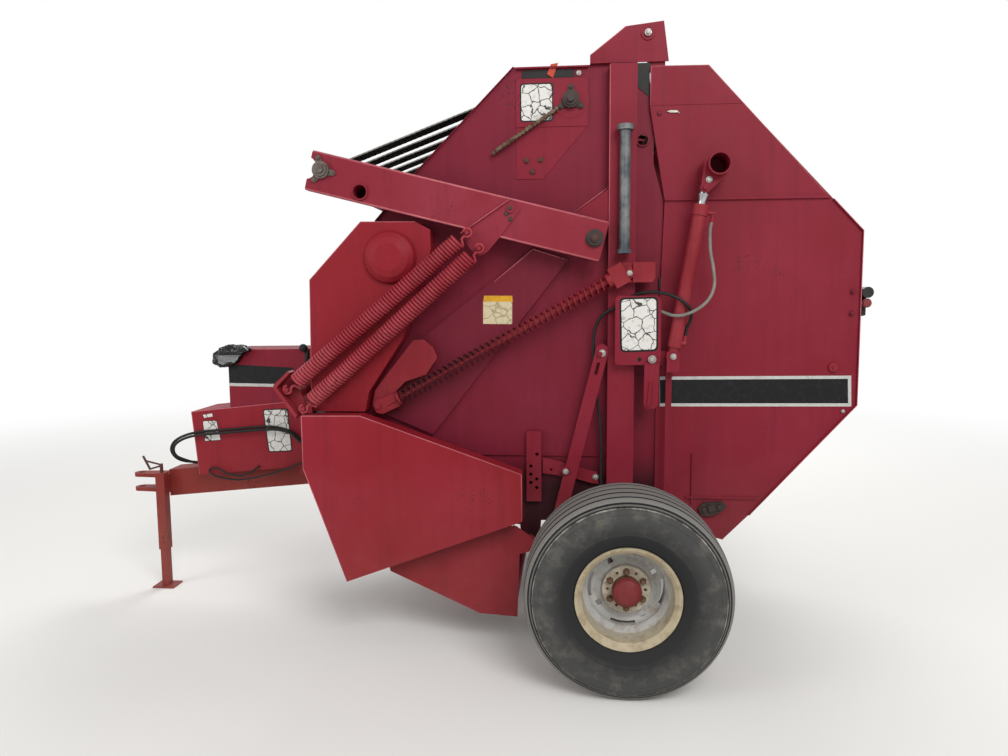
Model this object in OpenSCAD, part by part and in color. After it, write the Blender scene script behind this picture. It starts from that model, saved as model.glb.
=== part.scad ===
// Round baler, towed, with one rear tailgate. X runs to the rear, Y to the machine's right, Z up from the ground.
// Every outline is a list of [x, z] corners, seen from the left side, clockwise from the top front corner.

/* [Wheels] */
// Distance from the part's origin back to the axle
axle_x = 810; // [790:1:830]
// Outer diameter of the tyres
tyre_d = 826; // [800:2:840]
// Section width of the tyres
tyre_w = 318; // [280:2:330]
// Distance between the middles of the tyres
track = 2060; // [2040:2:2120]
// Outer diameter of the rim flange
rim_d = 419; // [400:1:430]
// Radius of the circle of wheel studs
stud_circle_r = 76; // [70:1:80]
// Radius of the wheel spindles
spindle_r = 32; // [28:1:36]

/* [Body] */
// Clear width between the side sheets
chamber_w = 1192; // [1160:2:1220]
// Thickness of the side sheets
sheet_t = 4; // [3:0.5:5]
// Height of the top edge of the side sheets
body_top = 2585; // [2560:1:2600]
// Gap across which the tailgate sheets pass the side sheets
gate_gap = 8; // [6:0.5:10]
// Width of the upright posts, front to back
post_w = 117; // [100:1:120]
// Depth of the upright posts, outwards
post_d = 55; // [40:1:58]
// Wall of the folded channels
channel_t = 5; // [4:0.5:6]

/* [Tailgate] */
// Radius of the tailgate hinge pins
gate_pin_r = 16; // [12:1:18]
// Outer radius of the tailgate cross pipe
gate_pipe_r = 47; // [44:1:50]
// How far the cross pipe stands out beyond the side sheets
gate_pipe_out = 180; // [170:1:190]
// Bore radius of the hydraulic cylinders' barrels
cylinder_bore_r = 24; // [22:1:25]
// Wall of the hydraulic cylinders' barrels
cylinder_wall = 5; // [4:0.5:6]
// Radius of the piston rods
piston_rod_r = 16; // [14:1:18]
// Distance of the cylinders' centre line from the side sheets
cylinder_out = 100; // [96:1:106]

/* [Tension arms] */
// Depth of the tension arms, seen from the side
arm_h = 172; // [160:1:176]
// Width of the tension arms, outwards
arm_w = 60; // [50:1:64]
// Radius of the arm pivot pins
arm_pin_r = 20; // [18:1:24]
// Radius of the take-up roller
takeup_r = 44; // [40:1:46]
// Outer radius of the pipe that joins the arms
arm_pipe_r = 36; // [33:1:38]
// Outer radius of the tension springs' coils
spring_r = 38; // [34:1:40]
// Wire diameter of the tension springs
spring_wire = 13; // [10:1:14]

/* [Belts and rollers] */
// Number of belts side by side
belt_count = 7; // [5:1:7]
// Width of one belt
belt_w = 102; // [90:1:110]
// Thickness of the belts
belt_t = 6; // [5:0.5:8]
// Distance between the middles of neighbouring belts
belt_pitch = 165; // [150:1:168]
// Radius of the belt rollers
roller_r = 45; // [40:1:50]
// Radius of the upper drive roller
drive_roller_r = 135; // [126:1:137]

/* [Pickup] */
// Half of the pickup reel's width
reel_half_w = 640; // [600:2:650]
// Radius of the pickup reel at the tine tips
reel_r = 190; // [180:1:195]
// Radius of the circle on which the tine bars run
tine_bar_circle_r = 105; // [95:1:110]
// Distance between neighbouring tines
tine_pitch = 71; // [60:1:75]
// Thickness of a tine
tine_t = 6; // [5:0.5:7]

/* [Drawbar] */
// Side of the drawbar's square section
drawbar_w = 130; // [120:1:140]
// Radius of the hitch pin's hole
hitch_hole_r = 17; // [13:0.5:20]
// Thickness of the hitch plates
hitch_plate_t = 20; // [16:1:22]
// Outer side of the jack's square tube
jack_w = 50; // [46:1:54]
// Wall of the jack's square tube
jack_wall = 5; // [4:0.5:6]
// Radius of the driveline input shaft
input_shaft_r = 17.5; // [17:0.5:20]
// Radius of the hydraulic hoses
hose_r = 7; // [6:0.5:8]

/* [Hidden] */
$fn = 48;

red = "#8f2230";
faded_red = "#b04a50";
belt_black = "#1c1c1e";
steel = "#9a9a98";
dark_steel = "#3a3634";
cream = "#cfc6b4";

// Radial play of a pin in its bore, and the gap at which pieces that seat on each other lie
pin_play = 0.3;
seat = 0.3;

// Planes, outwards from the middle of the machine
sheet_in = chamber_w / 2;
sheet_out = sheet_in + sheet_t;
gate_in = sheet_out + gate_gap;
gate_out = gate_in + sheet_t;
cover_out = gate_out + sheet_t;
post_out = sheet_out + post_d;
arm_in = post_out + 10;
arm_out = arm_in + arm_w;
spring_y = arm_out + 5 + spring_r;
cylinder_y = sheet_out + cylinder_out;
shield_out = sheet_out + 100;
pickup_shield_out = sheet_out + 200;
pickup_in = reel_half_w + 56;
pickup_out = pickup_in + sheet_t;

wheel_y = track / 2;
wheel_z = tyre_d / 2;
axle_h = 100;
axle_end = 800;
axle_top = wheel_z + axle_h / 2;

// Places, as [x, z]
gate_hinge = [909, 2708];
arm_pivot = [684, 1835];
arm_tilt = 14.27;
top_roller = [581, 2440];
slope_roller = [418, 2167];
front_roller = [-212, 1765];
starter_roller = [20, 640];
floor_roller = [520, 560];
gate_top_roller = [1030, 2440];
gate_upper_roller = [1660, 1900];
gate_lower_roller = [1690, 1130];
gate_floor_roller = [1330, 700];
gate_pipe = [1191, 2130];
rod_pin = [1143, 2039];
base_pin = [1022, 1330];
pickup_pivot = [400, 480];
reel_centre = [140, 365];
hitch_hole = [-1836, 564];

sheet_outline = [[330, body_top], [915, body_top], [925, 2440], [940, 2268], [940, 2160], [985, 2000], [985, 690],
    [1060, 650], [1060, 520], [920, axle_top], [700, axle_top], [640, 560], [450, 560], [440, 440], [360, 440],
    [350, 560], [-120, 560], [-420, 640], [-560, 640], [-560, 1650], [-315, 1917], [-86, 2170]];
gate_outline = [[921, 2566], [1163, 2563], [1829, 1862], [1832, 1108], [1384, 605], [1300, 600], [964, 672],
    [964, 1240], [989, 2000], [920, 2398]];
gate_cover_outline = [[921, 2568], [1165, 2565], [1688, 2001], [989, 2001], [920, 2400]];
gate_gusset_outline = [[1235, 620], [1390, 612], [1269, 487]];
hood_outline = [[663, 2623], [815, 2740], [976, 2757], [999, 2590], [663, 2590]];
drive_shield_outline = [[-342, 1922], [-96, 1919], [-31, 1884], [-29, 1795], [-164, 1403], [-322, 1166], [-341, 1078],
    [-589, 1078], [-580, 1669]];
pickup_shield_outline = [[-604, 1071], [-339, 1073], [372, 821], [374, 610], [-417, 317], [-603, 832]];
pickup_side_outline = [[-300, 560], [340, 560], [400, 518], [436, 480], [400, 442], [356, 430], [345, 134],
    [172, 146], [-241, 335]];
brace_outline = [[416, 1800], [570, 1750], [-47, 960], [-294, 1064], [-213, 1309]];

// A plate that stands along the machine, from its [x, z] corners
module slab(points, y0, y1)
    translate([0, y1, 0]) rotate([90, 0, 0]) linear_extrude(y1 - y0) polygon(points);

// A round bar across the machine, at p = [x, z]
module cross_bar(p, r, y0, y1)
    translate([p[0], y1, p[1]]) rotate([90, 0, 0]) cylinder(r = r, h = y1 - y0);

// A round bar along the machine between two [x, y, z] places
module bar(a, b, r) {
    d = b - a;
    translate(a) rotate([0, acos(d[2] / norm(d)), atan2(d[1], d[0])]) cylinder(r = r, h = norm(d));
}

// What stands on both sides of the machine is drawn for the right one
module both_sides() {
    children();
    mirror([0, 1, 0]) children();
}

module on_left() mirror([0, 1, 0]) children();

// Inward normal of an edge of a clockwise outline
function edge_normal(a, b) = [b[1] - a[1], a[0] - b[0]] / norm(b - a);

// Crossing of two lines, each given by its normal and its distance along it
function crossing(n1, c1, n2, c2) =
    [c1 * n2[1] - c2 * n1[1], n1[0] * c2 - n2[0] * c1] / (n1[0] * n2[1] - n1[1] * n2[0]);

// The outline drawn in by a wall for each edge; a wall below zero draws that edge out instead
function inset(p, walls) = [for (i = [0:len(p) - 1])
    let (n = len(p), a = p[(i + n - 1) % n], b = p[i], c = p[(i + 1) % n],
         n1 = edge_normal(a, b), n2 = edge_normal(b, c))
    crossing(n1, n1 * b + walls[(i + n - 1) % n], n2, n2 * b + walls[i])];

function even_walls(p, t) = [for (i = p) t];

// A pressed cover: one face outwards and a wall round its edge
module pan(points, y0, y1, t, walls)
    difference() {
        slab(points, y0, y1);
        slab(inset(points, walls), y0 - 1, y1 - t);
    }

// Corners of a strip of thickness t along the inner side of one edge
function edge_strip(a, b, t) = [a, b, b + t * edge_normal(a, b), a + t * edge_normal(a, b)];

// Corners of a rectangle with rounded corners
function round_rect(x0, z0, x1, z1, r) = [for (c = [[x1 - r, z1 - r, 0], [x0 + r, z1 - r, 90], [x0 + r, z0 + r, 180],
    [x1 - r, z0 + r, 270]], a = [0, 30, 60, 90]) [c[0] + r * cos(c[2] + a), c[1] + r * sin(c[2] + a)]];

// Ends of the straight run of a belt between two rollers; a radius below zero puts it on the roller's right side
function tangent(p, r1, q, r2) =
    let (d = norm(q - p), u = (q - p) / d, w = [-u[1], u[0]], s = (r1 - r2) / d, n = u * s + w * sqrt(1 - s * s))
    [p + n * r1, q + n * r2];

// The belts' straight run between two [x, z] places
module belt_run(ends) {
    d = ends[1] - ends[0];
    for (i = [0:belt_count - 1])
        translate([ends[0][0], (i - (belt_count - 1) / 2) * belt_pitch, ends[0][1]])
            rotate([0, -atan2(d[1], d[0]), 0])
                translate([0, -belt_w / 2, -belt_t / 2]) cube([norm(d), belt_w, belt_t]);
}

belt_on = belt_t / 2 + seat;

// The two upright side sheets of the chamber, with a lip along the front slope and the end of a cross tube
cross_tube = [892, 2262];
module side_sheets() color(red) both_sides() difference() {
    union() {
        slab(sheet_outline, sheet_in, sheet_out);
        slab(edge_strip([-86, 2170], [330, body_top], 3), sheet_out - 1, sheet_out + 14);
        slab(edge_strip([-300, 1934], [-86, 2170], 3), sheet_out - 1, sheet_out + 14);
        for (x = [[120, 380], [456, 742]])
            slab([[x[0], 872], [x[1], 872], [x[1], 866], [x[0], 866]], sheet_out - 1, sheet_out + 10);
        cross_bar(cross_tube, 28, sheet_in, sheet_out + 8);
    }
    cross_bar(cross_tube, 23, sheet_in - 1, sheet_out + 9);
}

// Folded channels that stand on the side sheets, each with a flanged gusset in front of it
module posts() color(red) both_sides() {
    translate([746, sheet_out, axle_top]) linear_extrude(body_top - 12 - axle_top)
        difference() {
            square([post_w, post_d]);
            translate([channel_t, -1]) square([post_w - 2 * channel_t, post_d - channel_t + 1]);
        }
    slab([[599, 1947], [747, 2053], [747, 1885], [660, 1885]], sheet_out + 40, sheet_out + 45);
    slab(edge_strip([599, 1947], [747, 2053], 5), sheet_out, sheet_out + 45);
}

// Wide slanting formed braces
module braces() color(red) both_sides()
    pan(brace_outline, sheet_out, sheet_out + 20, 4, even_walls(brace_outline, 4));

// Plates on top that carry the tailgate's hinge pins
module top_hood() color(red) both_sides() {
    slab(hood_outline, sheet_in, sheet_out);
    slab([[663, 2591], [862, 2591], [862, body_top], [663, body_top]], sheet_in, sheet_out + 20);
    cross_bar(gate_hinge, gate_pin_r, sheet_in - 34, sheet_out + 12);
    cross_bar(gate_hinge, gate_pin_r * 1.8, sheet_out, sheet_out + 5);
}

// Plates on the side sheets at the two upper rollers
module bearing_plates() color(red) both_sides() {
    slab([[342, 2533], [654, 2533], [654, 2328], [342, 2328]], sheet_out, sheet_out + 6);
    slab([[342, 2328], [654, 2328], [460, 2106], [342, 2106]], sheet_out, sheet_out + 3);
    slab([[342, 2580], [656, 2580], [656, 2574], [342, 2574]], sheet_out, sheet_out + 16);
    cross_bar(top_roller, 78, sheet_out + 6, sheet_out + 7.5);
    for (q = [[386, 2182], [446, 2185], [417, 2135]]) cross_bar(q, 8, sheet_out + 3, sheet_out + 8);
}

// Three-lobed flange with the round housing of a bearing
module flange_bearing(p, y, lobes = [90, 213, 327]) {
    cross_bar(p, 37, y, y + 18);
    cross_bar(p, 28, y + 18, y + 26);
    cross_bar(p, 16, y + 26, y + 38);
    for (a = lobes) {
        q = p + 53 * [cos(a), sin(a)];
        side = 11 * [-sin(a), cos(a)];
        slab([p + 2 * side, q + side, q - side, p - 2 * side], y, y + 6);
        cross_bar(q, 12, y, y + 6.5);
        cross_bar(q, 7, y + 6.5, y + 13);
    }
}

module top_bearings() color(dark_steel) both_sides() flange_bearing(top_roller, sheet_out + 7.5 + seat);

// Loose drive chain that hangs from the top bearing to a stud
chain_top = [520, 2399];
chain_low = [242, 2219];
chain_y = sheet_out + 22;
chain_links = 17;
module hanging_chain() color("#6b5334") on_left() {
    step = (chain_low - chain_top) / chain_links;
    u = step / norm(step);
    w = [-u[1], u[0]];
    cross_bar(chain_low, 6, sheet_out, chain_y + 13);
    cross_bar(chain_top, 6, sheet_out + 7.5, chain_y + 13);
    for (i = [0:chain_links]) translate([chain_top[0] + i * step[0], chain_y + 11, chain_top[1] + i * step[1]])
        rotate([90, 0, 0]) cylinder(r = 4.5, h = 22, $fn = 8);
    for (i = [0:chain_links - 1], side = [-1, 1]) {
        a = chain_top + i * step;
        b = a + step;
        m = (a + b) / 2;
        y = chain_y + side * (i % 2 == 0 ? 6 : 9);
        slab([a - 9 * u, a + 9 * w, m + 5 * w, b + 9 * w, b + 9 * u, b - 9 * w, m - 5 * w, a - 9 * w], y - 1.4, y + 1.4);
    }
}

// Beams and sheets that tie the two sides together
module cross_members() color(red) {
    slab([[-560, 1640], [-552, 1640], [-552, 760], [-560, 760]], -sheet_in, sheet_in);
    difference() {
        slab([[-560, 760], [-440, 760], [-440, 640], [-560, 640]], -sheet_in, sheet_in);
        slab([[-554, 754], [-446, 754], [-446, 646], [-554, 646]], -sheet_in - 1, sheet_in + 1);
    }
    difference() {
        slab([[770, 2490], [850, 2490], [850, 2450], [770, 2450]], -sheet_in, sheet_in);
        slab([[774, 2486], [846, 2486], [846, 2449], [774, 2449]], -sheet_in - 1, sheet_in + 1);
    }
}

// Axle beam with its two spindles
module axle() color(dark_steel) {
    translate([axle_x - axle_h / 2, -axle_end, wheel_z - axle_h / 2]) cube([axle_h, 2 * axle_end, axle_h]);
    both_sides() {
        cross_bar([axle_x, wheel_z], spindle_r, axle_end - 5, wheel_y + 30);
        cross_bar([axle_x, wheel_z], spindle_r + 14, axle_end, wheel_y - 95);
    }
}

// Drawbar beam that rises to the front cross beam, with lugs for the shield over it
drawbar_front = [-1640, 572];
drawbar_rear = [-560, 680];
drawbar_h = 148;
drawbar_wall = 8;
driveline_shield_w = 150;
module drawbar() color("#a02c22") {
    up = [0, drawbar_h / 2];
    outline = [drawbar_front + up, drawbar_rear + up, drawbar_rear - up, drawbar_front - up];
    w = drawbar_wall;
    difference() {
        slab(outline, -drawbar_w / 2, drawbar_w / 2);
        slab(inset(outline, [w, -1, w, 2 * w]), -drawbar_w / 2 + w, drawbar_w / 2 - w);
    }
    both_sides() for (x = [-1380, -860])
        slab([[x, 735], [x + 50, 735], [x + 50, 645], [x, 645]], drawbar_w / 2, driveline_shield_w - 3);
    slab([[-1440, 698], [-1425, 698], [-1425, 650], [-1440, 650]], -62, -10);
}

// Two flat hitch plates, bored for one upright pin
hitch_gap = 61;
module hitch_clevis() color("#a02c22") difference() {
    for (z = [hitch_hole[1] + hitch_gap / 2, hitch_hole[1] - hitch_gap / 2 - hitch_plate_t])
        translate([0, 0, z]) linear_extrude(hitch_plate_t) union() {
            translate([hitch_hole[0], 0]) circle(r = 38);
            polygon([[hitch_hole[0], -37], [drawbar_front[0], -54], [drawbar_front[0], 54], [hitch_hole[0], 37]]);
        }
    translate([hitch_hole[0], 0, hitch_hole[1] - 100]) cylinder(r = hitch_hole_r, h = 200);
}

// Gearbox on the front of the machine, with its input shaft towards the tractor
gearbox_z = 895;
module gearbox() color(dark_steel) {
    translate([-760, -140, gearbox_z - 140]) cube([200, 280, 280]);
    translate([-760, 0, gearbox_z]) rotate([0, -90, 0]) cylinder(r = 70, h = 60);
    translate([-820, 0, gearbox_z]) rotate([0, -90, 0]) cylinder(r = input_shaft_r, h = 90);
}

// Tall box shield over the driveline
module gearbox_shield() color(red)
    pan_box([[-1233, 1321], [-764, 1325], [-764, 1040], [-930, 1040], [-1233, 1008]], 145, 3, [3, 3, -50, -50, 3]);

// Black soft cover over the controls beside the box shield
cover_outline = [[-1287, 1314], [-1242, 1346], [-1185, 1352], [-1092, 1323], [-1088, 1300], [-1171, 1254],
    [-1267, 1227], [-1314, 1250]];
module soft_cover() color(belt_black) on_left() hull() {
    slab(cover_outline, 145 + seat, 190);
    slab(inset(cover_outline, even_walls(cover_outline, 12)), 150, 206);
}

// A sheet hood: outline corners, half width, side walls and a wall for each edge
module pan_box(points, half_w, t, walls) difference() {
    slab(points, -half_w, half_w);
    slab(inset(points, walls), -half_w + t, half_w - t);
}

// Long low shield along the drawbar
module driveline_shield() color(red)
    pan_box([[-1450, 985], [-930, 1040], [-780, 1040], [-780, 700], [-1420, 640]], driveline_shield_w, 3,
            [3, 3, -50, -50, -50]);

// Square tube of the parking jack, on the drawbar's left side
jack_x = -1655;
jack_y = 115;
jack_foot_t = 8;
module jack_tube() color("#b03426") on_left() {
    translate([jack_x, jack_y, 213]) linear_extrude(420) difference() {
        square(jack_w, center = true);
        square(jack_w - 2 * jack_wall, center = true);
    }
    translate([jack_x, jack_y, 633]) linear_extrude(8) square(jack_w, center = true);
    translate([jack_x - jack_w / 2, drawbar_w / 2, 545]) cube([jack_w, jack_y - jack_w / 2 - drawbar_w / 2, 60]);
}

// Sliding leg of the jack, with its foot on the ground
leg_w = jack_w - 2 * jack_wall - 2 * seat;
module jack_leg() color("#b03426") on_left() {
    translate([jack_x, jack_y, jack_foot_t]) linear_extrude(320) square(leg_w, center = true);
    translate([jack_x - 60, jack_y - 50, 0]) cube([120, 100, jack_foot_t]);
}

// Bent wire crank on top of the jack
module jack_crank() color(steel) on_left() {
    bar([jack_x, jack_y, 641], [jack_x, jack_y, 690], 9);
    bar([jack_x, jack_y, 684], [jack_x - 86, jack_y, 704], 5);
    bar([jack_x - 102, jack_y, 732], [jack_x - 64, jack_y, 655], 6);
    bar([jack_x - 66, jack_y, 659], [jack_x, jack_y, 679], 5);
}

// Shield with a dome over the main drive, on the left side
module drive_shield() color(red) on_left() {
    pan(drive_shield_outline, sheet_out, shield_out, 3, even_walls(drive_shield_outline, 3));
    translate([front_roller[0], shield_out, front_roller[1]]) rotate([-90, 0, 0])
        rotate_extrude() polygon([[0, -1], [118, -1], [118, 4], [108, 22], [88, 36], [60, 44], [0, 46]]);
}

// Large shield over the pickup's drive, on stand-offs from the side sheet
module pickup_shield() color(red) on_left() {
    pan(pickup_shield_outline, shield_out + 8, pickup_shield_out, 3, [3, 3, 3, -60, 3, 3]);
    for (q = [[-500, 980], [-500, 690], [250, 720]]) cross_bar(q, 12, sheet_out, pickup_shield_out - 3);
}

// Belt rollers that turn between the side sheets
module frame_rollers() color(steel) {
    cross_bar(top_roller, drive_roller_r, -sheet_in, sheet_in);
    for (p = [slope_roller, front_roller, starter_roller, floor_roller]) cross_bar(p, roller_r, -sheet_in, sheet_in);
}

// Belts down the sloping front and on to the starter roller
module front_belts() color(belt_black) {
    r = roller_r + belt_on;
    belt_run(tangent(slope_roller, r, front_roller, -r));
    belt_run(tangent(front_roller, -r, starter_roller, -r));
}

// Belts from the top roller out to the take-up roller and back to the slope roller
function arm_point(u, v) =
    arm_pivot + [-u * cos(arm_tilt) + v * sin(arm_tilt), u * sin(arm_tilt) + v * cos(arm_tilt)];
takeup = arm_point(1225, 6);
module takeup_belts() color(belt_black) {
    belt_run(tangent(takeup, takeup_r + belt_on, top_roller, drive_roller_r + belt_on));
    belt_run(tangent(takeup, -takeup_r - belt_on, slope_roller, roller_r + belt_on));
}

// Belts across the top, from the top roller to the tailgate
module top_belts() color(belt_black)
    belt_run(tangent(top_roller, drive_roller_r + belt_on, gate_top_roller, roller_r + belt_on));

// Strap and pipe that hold the lower ends of the tension springs
anchor_pipe = [-650, 1165];
spring_lower = [[-674, 1184], [-603, 1098]];
spring_upper = [arm_point(532, -107), arm_point(466, -159)];
module spring_anchors() color(red) {
    both_sides() {
        slab([[-700, 1215], [-600, 1215], [-580, 1260], [-560, 1260], [-560, 1080], [-600, 1110], [-700, 1110]],
             sheet_in - 8, sheet_in);
        slab([[-735, 1205], [-670, 1265], [-596, 1090], [-640, 1056]], spring_y - spring_r - 12, spring_y - spring_r);
        slab([[-652, 1262], [-662, 1268], [-728, 1207], [-730, 1190], [-634, 1058], [-626, 1071], [-714, 1192],
              [-713, 1199]], spring_y - spring_r - 1, spring_y + 20);
        for (p = spring_lower) cross_bar(p, 9, spring_y - spring_r - 1, spring_y + 14);
    }
    cross_bar(anchor_pipe, 24, -spring_y + spring_r, spring_y - spring_r);
}

// A close-coiled spring between two hooks; each hook seats against its pin
hook_gap = 9 + seat;
module close_spring(a, b) {
    length = norm(b - a) - 2 * 55;
    coils = round(length / (spring_wire + 2));
    pitch = length / coils;
    inner = spring_r - spring_wire;
    rib = [for (i = [0:coils - 1], k = [0:3]) [spring_r - [5, 0, 0, 5][k], (i + [0, 0.3, 0.7, 1][k]) * pitch]];
    d = b - a;
    translate([a[0], spring_y, a[1]]) rotate([0, 90 - atan2(d[1], d[0]), 0]) {
        translate([0, 0, 55]) rotate_extrude($fn = 24) polygon(concat([[inner, 0]], rib, [[inner, length]]));
        for (z = [55, 55 + length - 6]) translate([0, 0, z]) cylinder(r = inner + 3, h = 6);
        translate([0, 0, hook_gap]) cylinder(r = 7, h = 50);
        translate([0, 0, norm(d) - hook_gap - 50]) cylinder(r = 7, h = 50);
    }
}

module tension_springs() color(red) both_sides()
    for (i = [0, 1]) close_spring(spring_lower[i], spring_upper[i]);

// Lever and rod, with the blocks and the bracket on the post, which carry the open-coiled spring
idler_low = [-187, 1137];
idler_high = [760, 1662];
idler_y = post_out + 35;
idler_l = norm(idler_high - idler_low);
idler_collar = 22;
module along_idler() {
    d = idler_high - idler_low;
    translate([idler_low[0], idler_y, idler_low[1]]) rotate([0, 90 - atan2(d[1], d[0]), 0]) children();
}
module idler_linkage() color(red) on_left() {
    slab([[-121, 1398], [-74, 1401], [-32, 1367], [-13, 1320], [-65, 1243], [-160, 1212], [-212, 1160], [-255, 1082],
          [-300, 1080], [-314, 1108], [-300, 1170], [-255, 1230]], idler_y - 30, idler_y - 20);
    cross_bar([-71, 1343], 24, sheet_out + 20, idler_y - 29);
    cross_bar([-71, 1343], 18, idler_y - 21, idler_y - 18);
    cross_bar([-281, 1101], 18, sheet_out + 20, idler_y - 29);
    along_idler() {
        translate([0, 0, -60]) cylinder(r = 8, h = idler_l + 60);
        translate([0, 0, 0.45 * idler_l]) cylinder(r = 14, h = 0.55 * idler_l);
        cylinder(r = 33, h = 8);
        translate([0, 0, idler_l - idler_collar]) cylinder(r = 31, h = idler_collar);
        translate([-46, -28, idler_l]) cube([92, 56, 66]);
        translate([-10, 8, idler_l + 60]) cube([46, 8, 36]);
    }
    slab([[-202, 1163], [-290, 1127], [-305, 1104], [-292, 1073], [-262, 1066], [-180, 1104]], idler_y - 4, idler_y + 4);
    slab([[804, 1733], [856, 1733], [856, 1647], [804, 1647]], idler_y - 12, idler_y - 4);
    slab([[850, 1734], [944, 1734], [944, 1665], [932, 1648], [850, 1648]], post_out, idler_y + 10);
    cross_bar([834, 1687], 12, idler_y - 16, idler_y + 24);
    cross_bar([-281, 1101], 12, idler_y - 20 + seat, idler_y + 12);
}

// The open-coiled spring: a round wire on a helix
idler_turns = 38;
idler_wire_r = 4.5;
idler_coil_r = 28;
function tube_faces(rings, n) = concat([[for (k = [0:n - 1]) k]], [[for (k = [n - 1:-1:0]) (rings - 1) * n + k]],
    [for (i = [0:rings - 2], k = [0:n - 1])
        [i * n + k, (i + 1) * n + k, (i + 1) * n + (k + 1) % n, i * n + (k + 1) % n]]);
module idler_spring() color(red) on_left() along_idler() translate([0, 0, 8 + seat]) {
    around = 10;
    sides = 6;
    count = idler_turns * around;
    rise = idler_l - 8 - idler_collar - 2 * seat - 2 * idler_wire_r;
    polyhedron(points = [for (i = [0:count], k = [0:sides - 1])
            let (a = 360 * i / around, b = 90 - 360 * k / sides, r = idler_coil_r + idler_wire_r * cos(b))
            [r * cos(a), r * sin(a), idler_wire_r * (1 + sin(b)) + rise * i / count]],
        faces = tube_faces(count + 1, sides));
}

// Grey tube on the left post
module manual_tube() color(steel) on_left() {
    translate([812, post_out + 36 + seat, 1778]) cylinder(r = 23, h = 535);
    translate([812, post_out + 36 + seat, 2288]) cylinder(r = 36, h = 22);
    translate([812, post_out + 36 + seat, 1772]) cylinder(r = 30, h = 16);
    translate([797, post_out, 1790]) cube([30, 28, 24]);
}

// Straps and rods that work the tailgate's latch
latch_top = [712, 1336];
module latch_linkage() color(red) on_left() {
    difference() {
        pan([[384, 982], [452, 982], [452, 656], [384, 656]], sheet_out, sheet_out + 30, 4, [4, 4, 4, 4]);
        for (q = [[432, 876], [404, 821], [404, 783], [404, 744], [431, 761], [431, 721]])
            cross_bar(q, 8, sheet_out + 25, sheet_out + 31);
    }
    difference() {
        slab([[692, 1350], [700, 1372], [722, 1382], [744, 1370], [750, 1345], [560, 582], [500, 582]],
             post_out + 2, post_out + 10);
        slab([[700, 1300], [714, 1297], [701, 1243], [687, 1246]], post_out + 1, post_out + 11);
    }
    difference() {
        slab([[458, 862], [536, 843], [706, 795], [712, 742], [680, 745], [582, 771], [458, 788]],
             sheet_out + 20, sheet_out + 26);
        cross_bar([497, 805], 6, sheet_out + 19, sheet_out + 27);
    }
    cross_bar([563, 808], 13, sheet_out, post_out + 20);
    cross_bar([563, 808], 20, post_out + 9, post_out + 14);
    cross_bar(latch_top, 11, sheet_out, post_out + 22);
    cross_bar([698, 764], 12, sheet_out, sheet_out + 31);
}

// Plate for the outlets and the shut-off lever
plate_y = post_out + 45;
module control_plate() color(red) on_left() {
    slab(round_rect(775, 1291, 971, 1590, 18), plate_y, plate_y + 5);
    for (z = [1380, 1500]) cross_bar([820, z], 14, post_out, plate_y);
    slab([[902, 1300], [966, 1300], [962, 1120], [948, 1101], [912, 1101], [900, 1120]], plate_y + 5, plate_y + 15);
    bar([930, plate_y + 15, 1216], [920, plate_y + 15, 1112], 9);
    cross_bar([934, 1317], 18, plate_y + 5, plate_y + 19);
    cross_bar([934, 1317], 11, plate_y + 19, plate_y + 28);
}

// Straps that carry the lower ends of the tailgate cylinders
eye_half = 22;
module cylinder_brackets() color(red) both_sides() {
    slab([[851, 1290], [1045, 1285], [1045, 1345], [1030, 1350], [851, 1350]],
         cylinder_y - eye_half - 12, cylinder_y - eye_half);
    slab([[851, 1290], [863, 1290], [863, 1350], [851, 1350]], post_out, cylinder_y - eye_half);
    slab([[995, 1262], [1049, 1262], [1049, 1345], [1042, 1350], [1000, 1350], [995, 1345]],
         cylinder_y + eye_half, cylinder_y + eye_half + 8);
    slab([[995, 1262], [1049, 1262], [1049, 1278], [995, 1278]], cylinder_y - eye_half - 12, cylinder_y + eye_half + 8);
    slab([[998, 1264], [1024, 1264], [1024, 580], [998, 580]], cylinder_y - eye_half - 12, cylinder_y - eye_half);
    slab([[990, 640], [1032, 640], [1032, 580], [990, 580]], sheet_out, cylinder_y - eye_half - 12);
    cross_bar(base_pin, 14, cylinder_y - eye_half - 6, cylinder_y + eye_half + 12);
}

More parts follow.
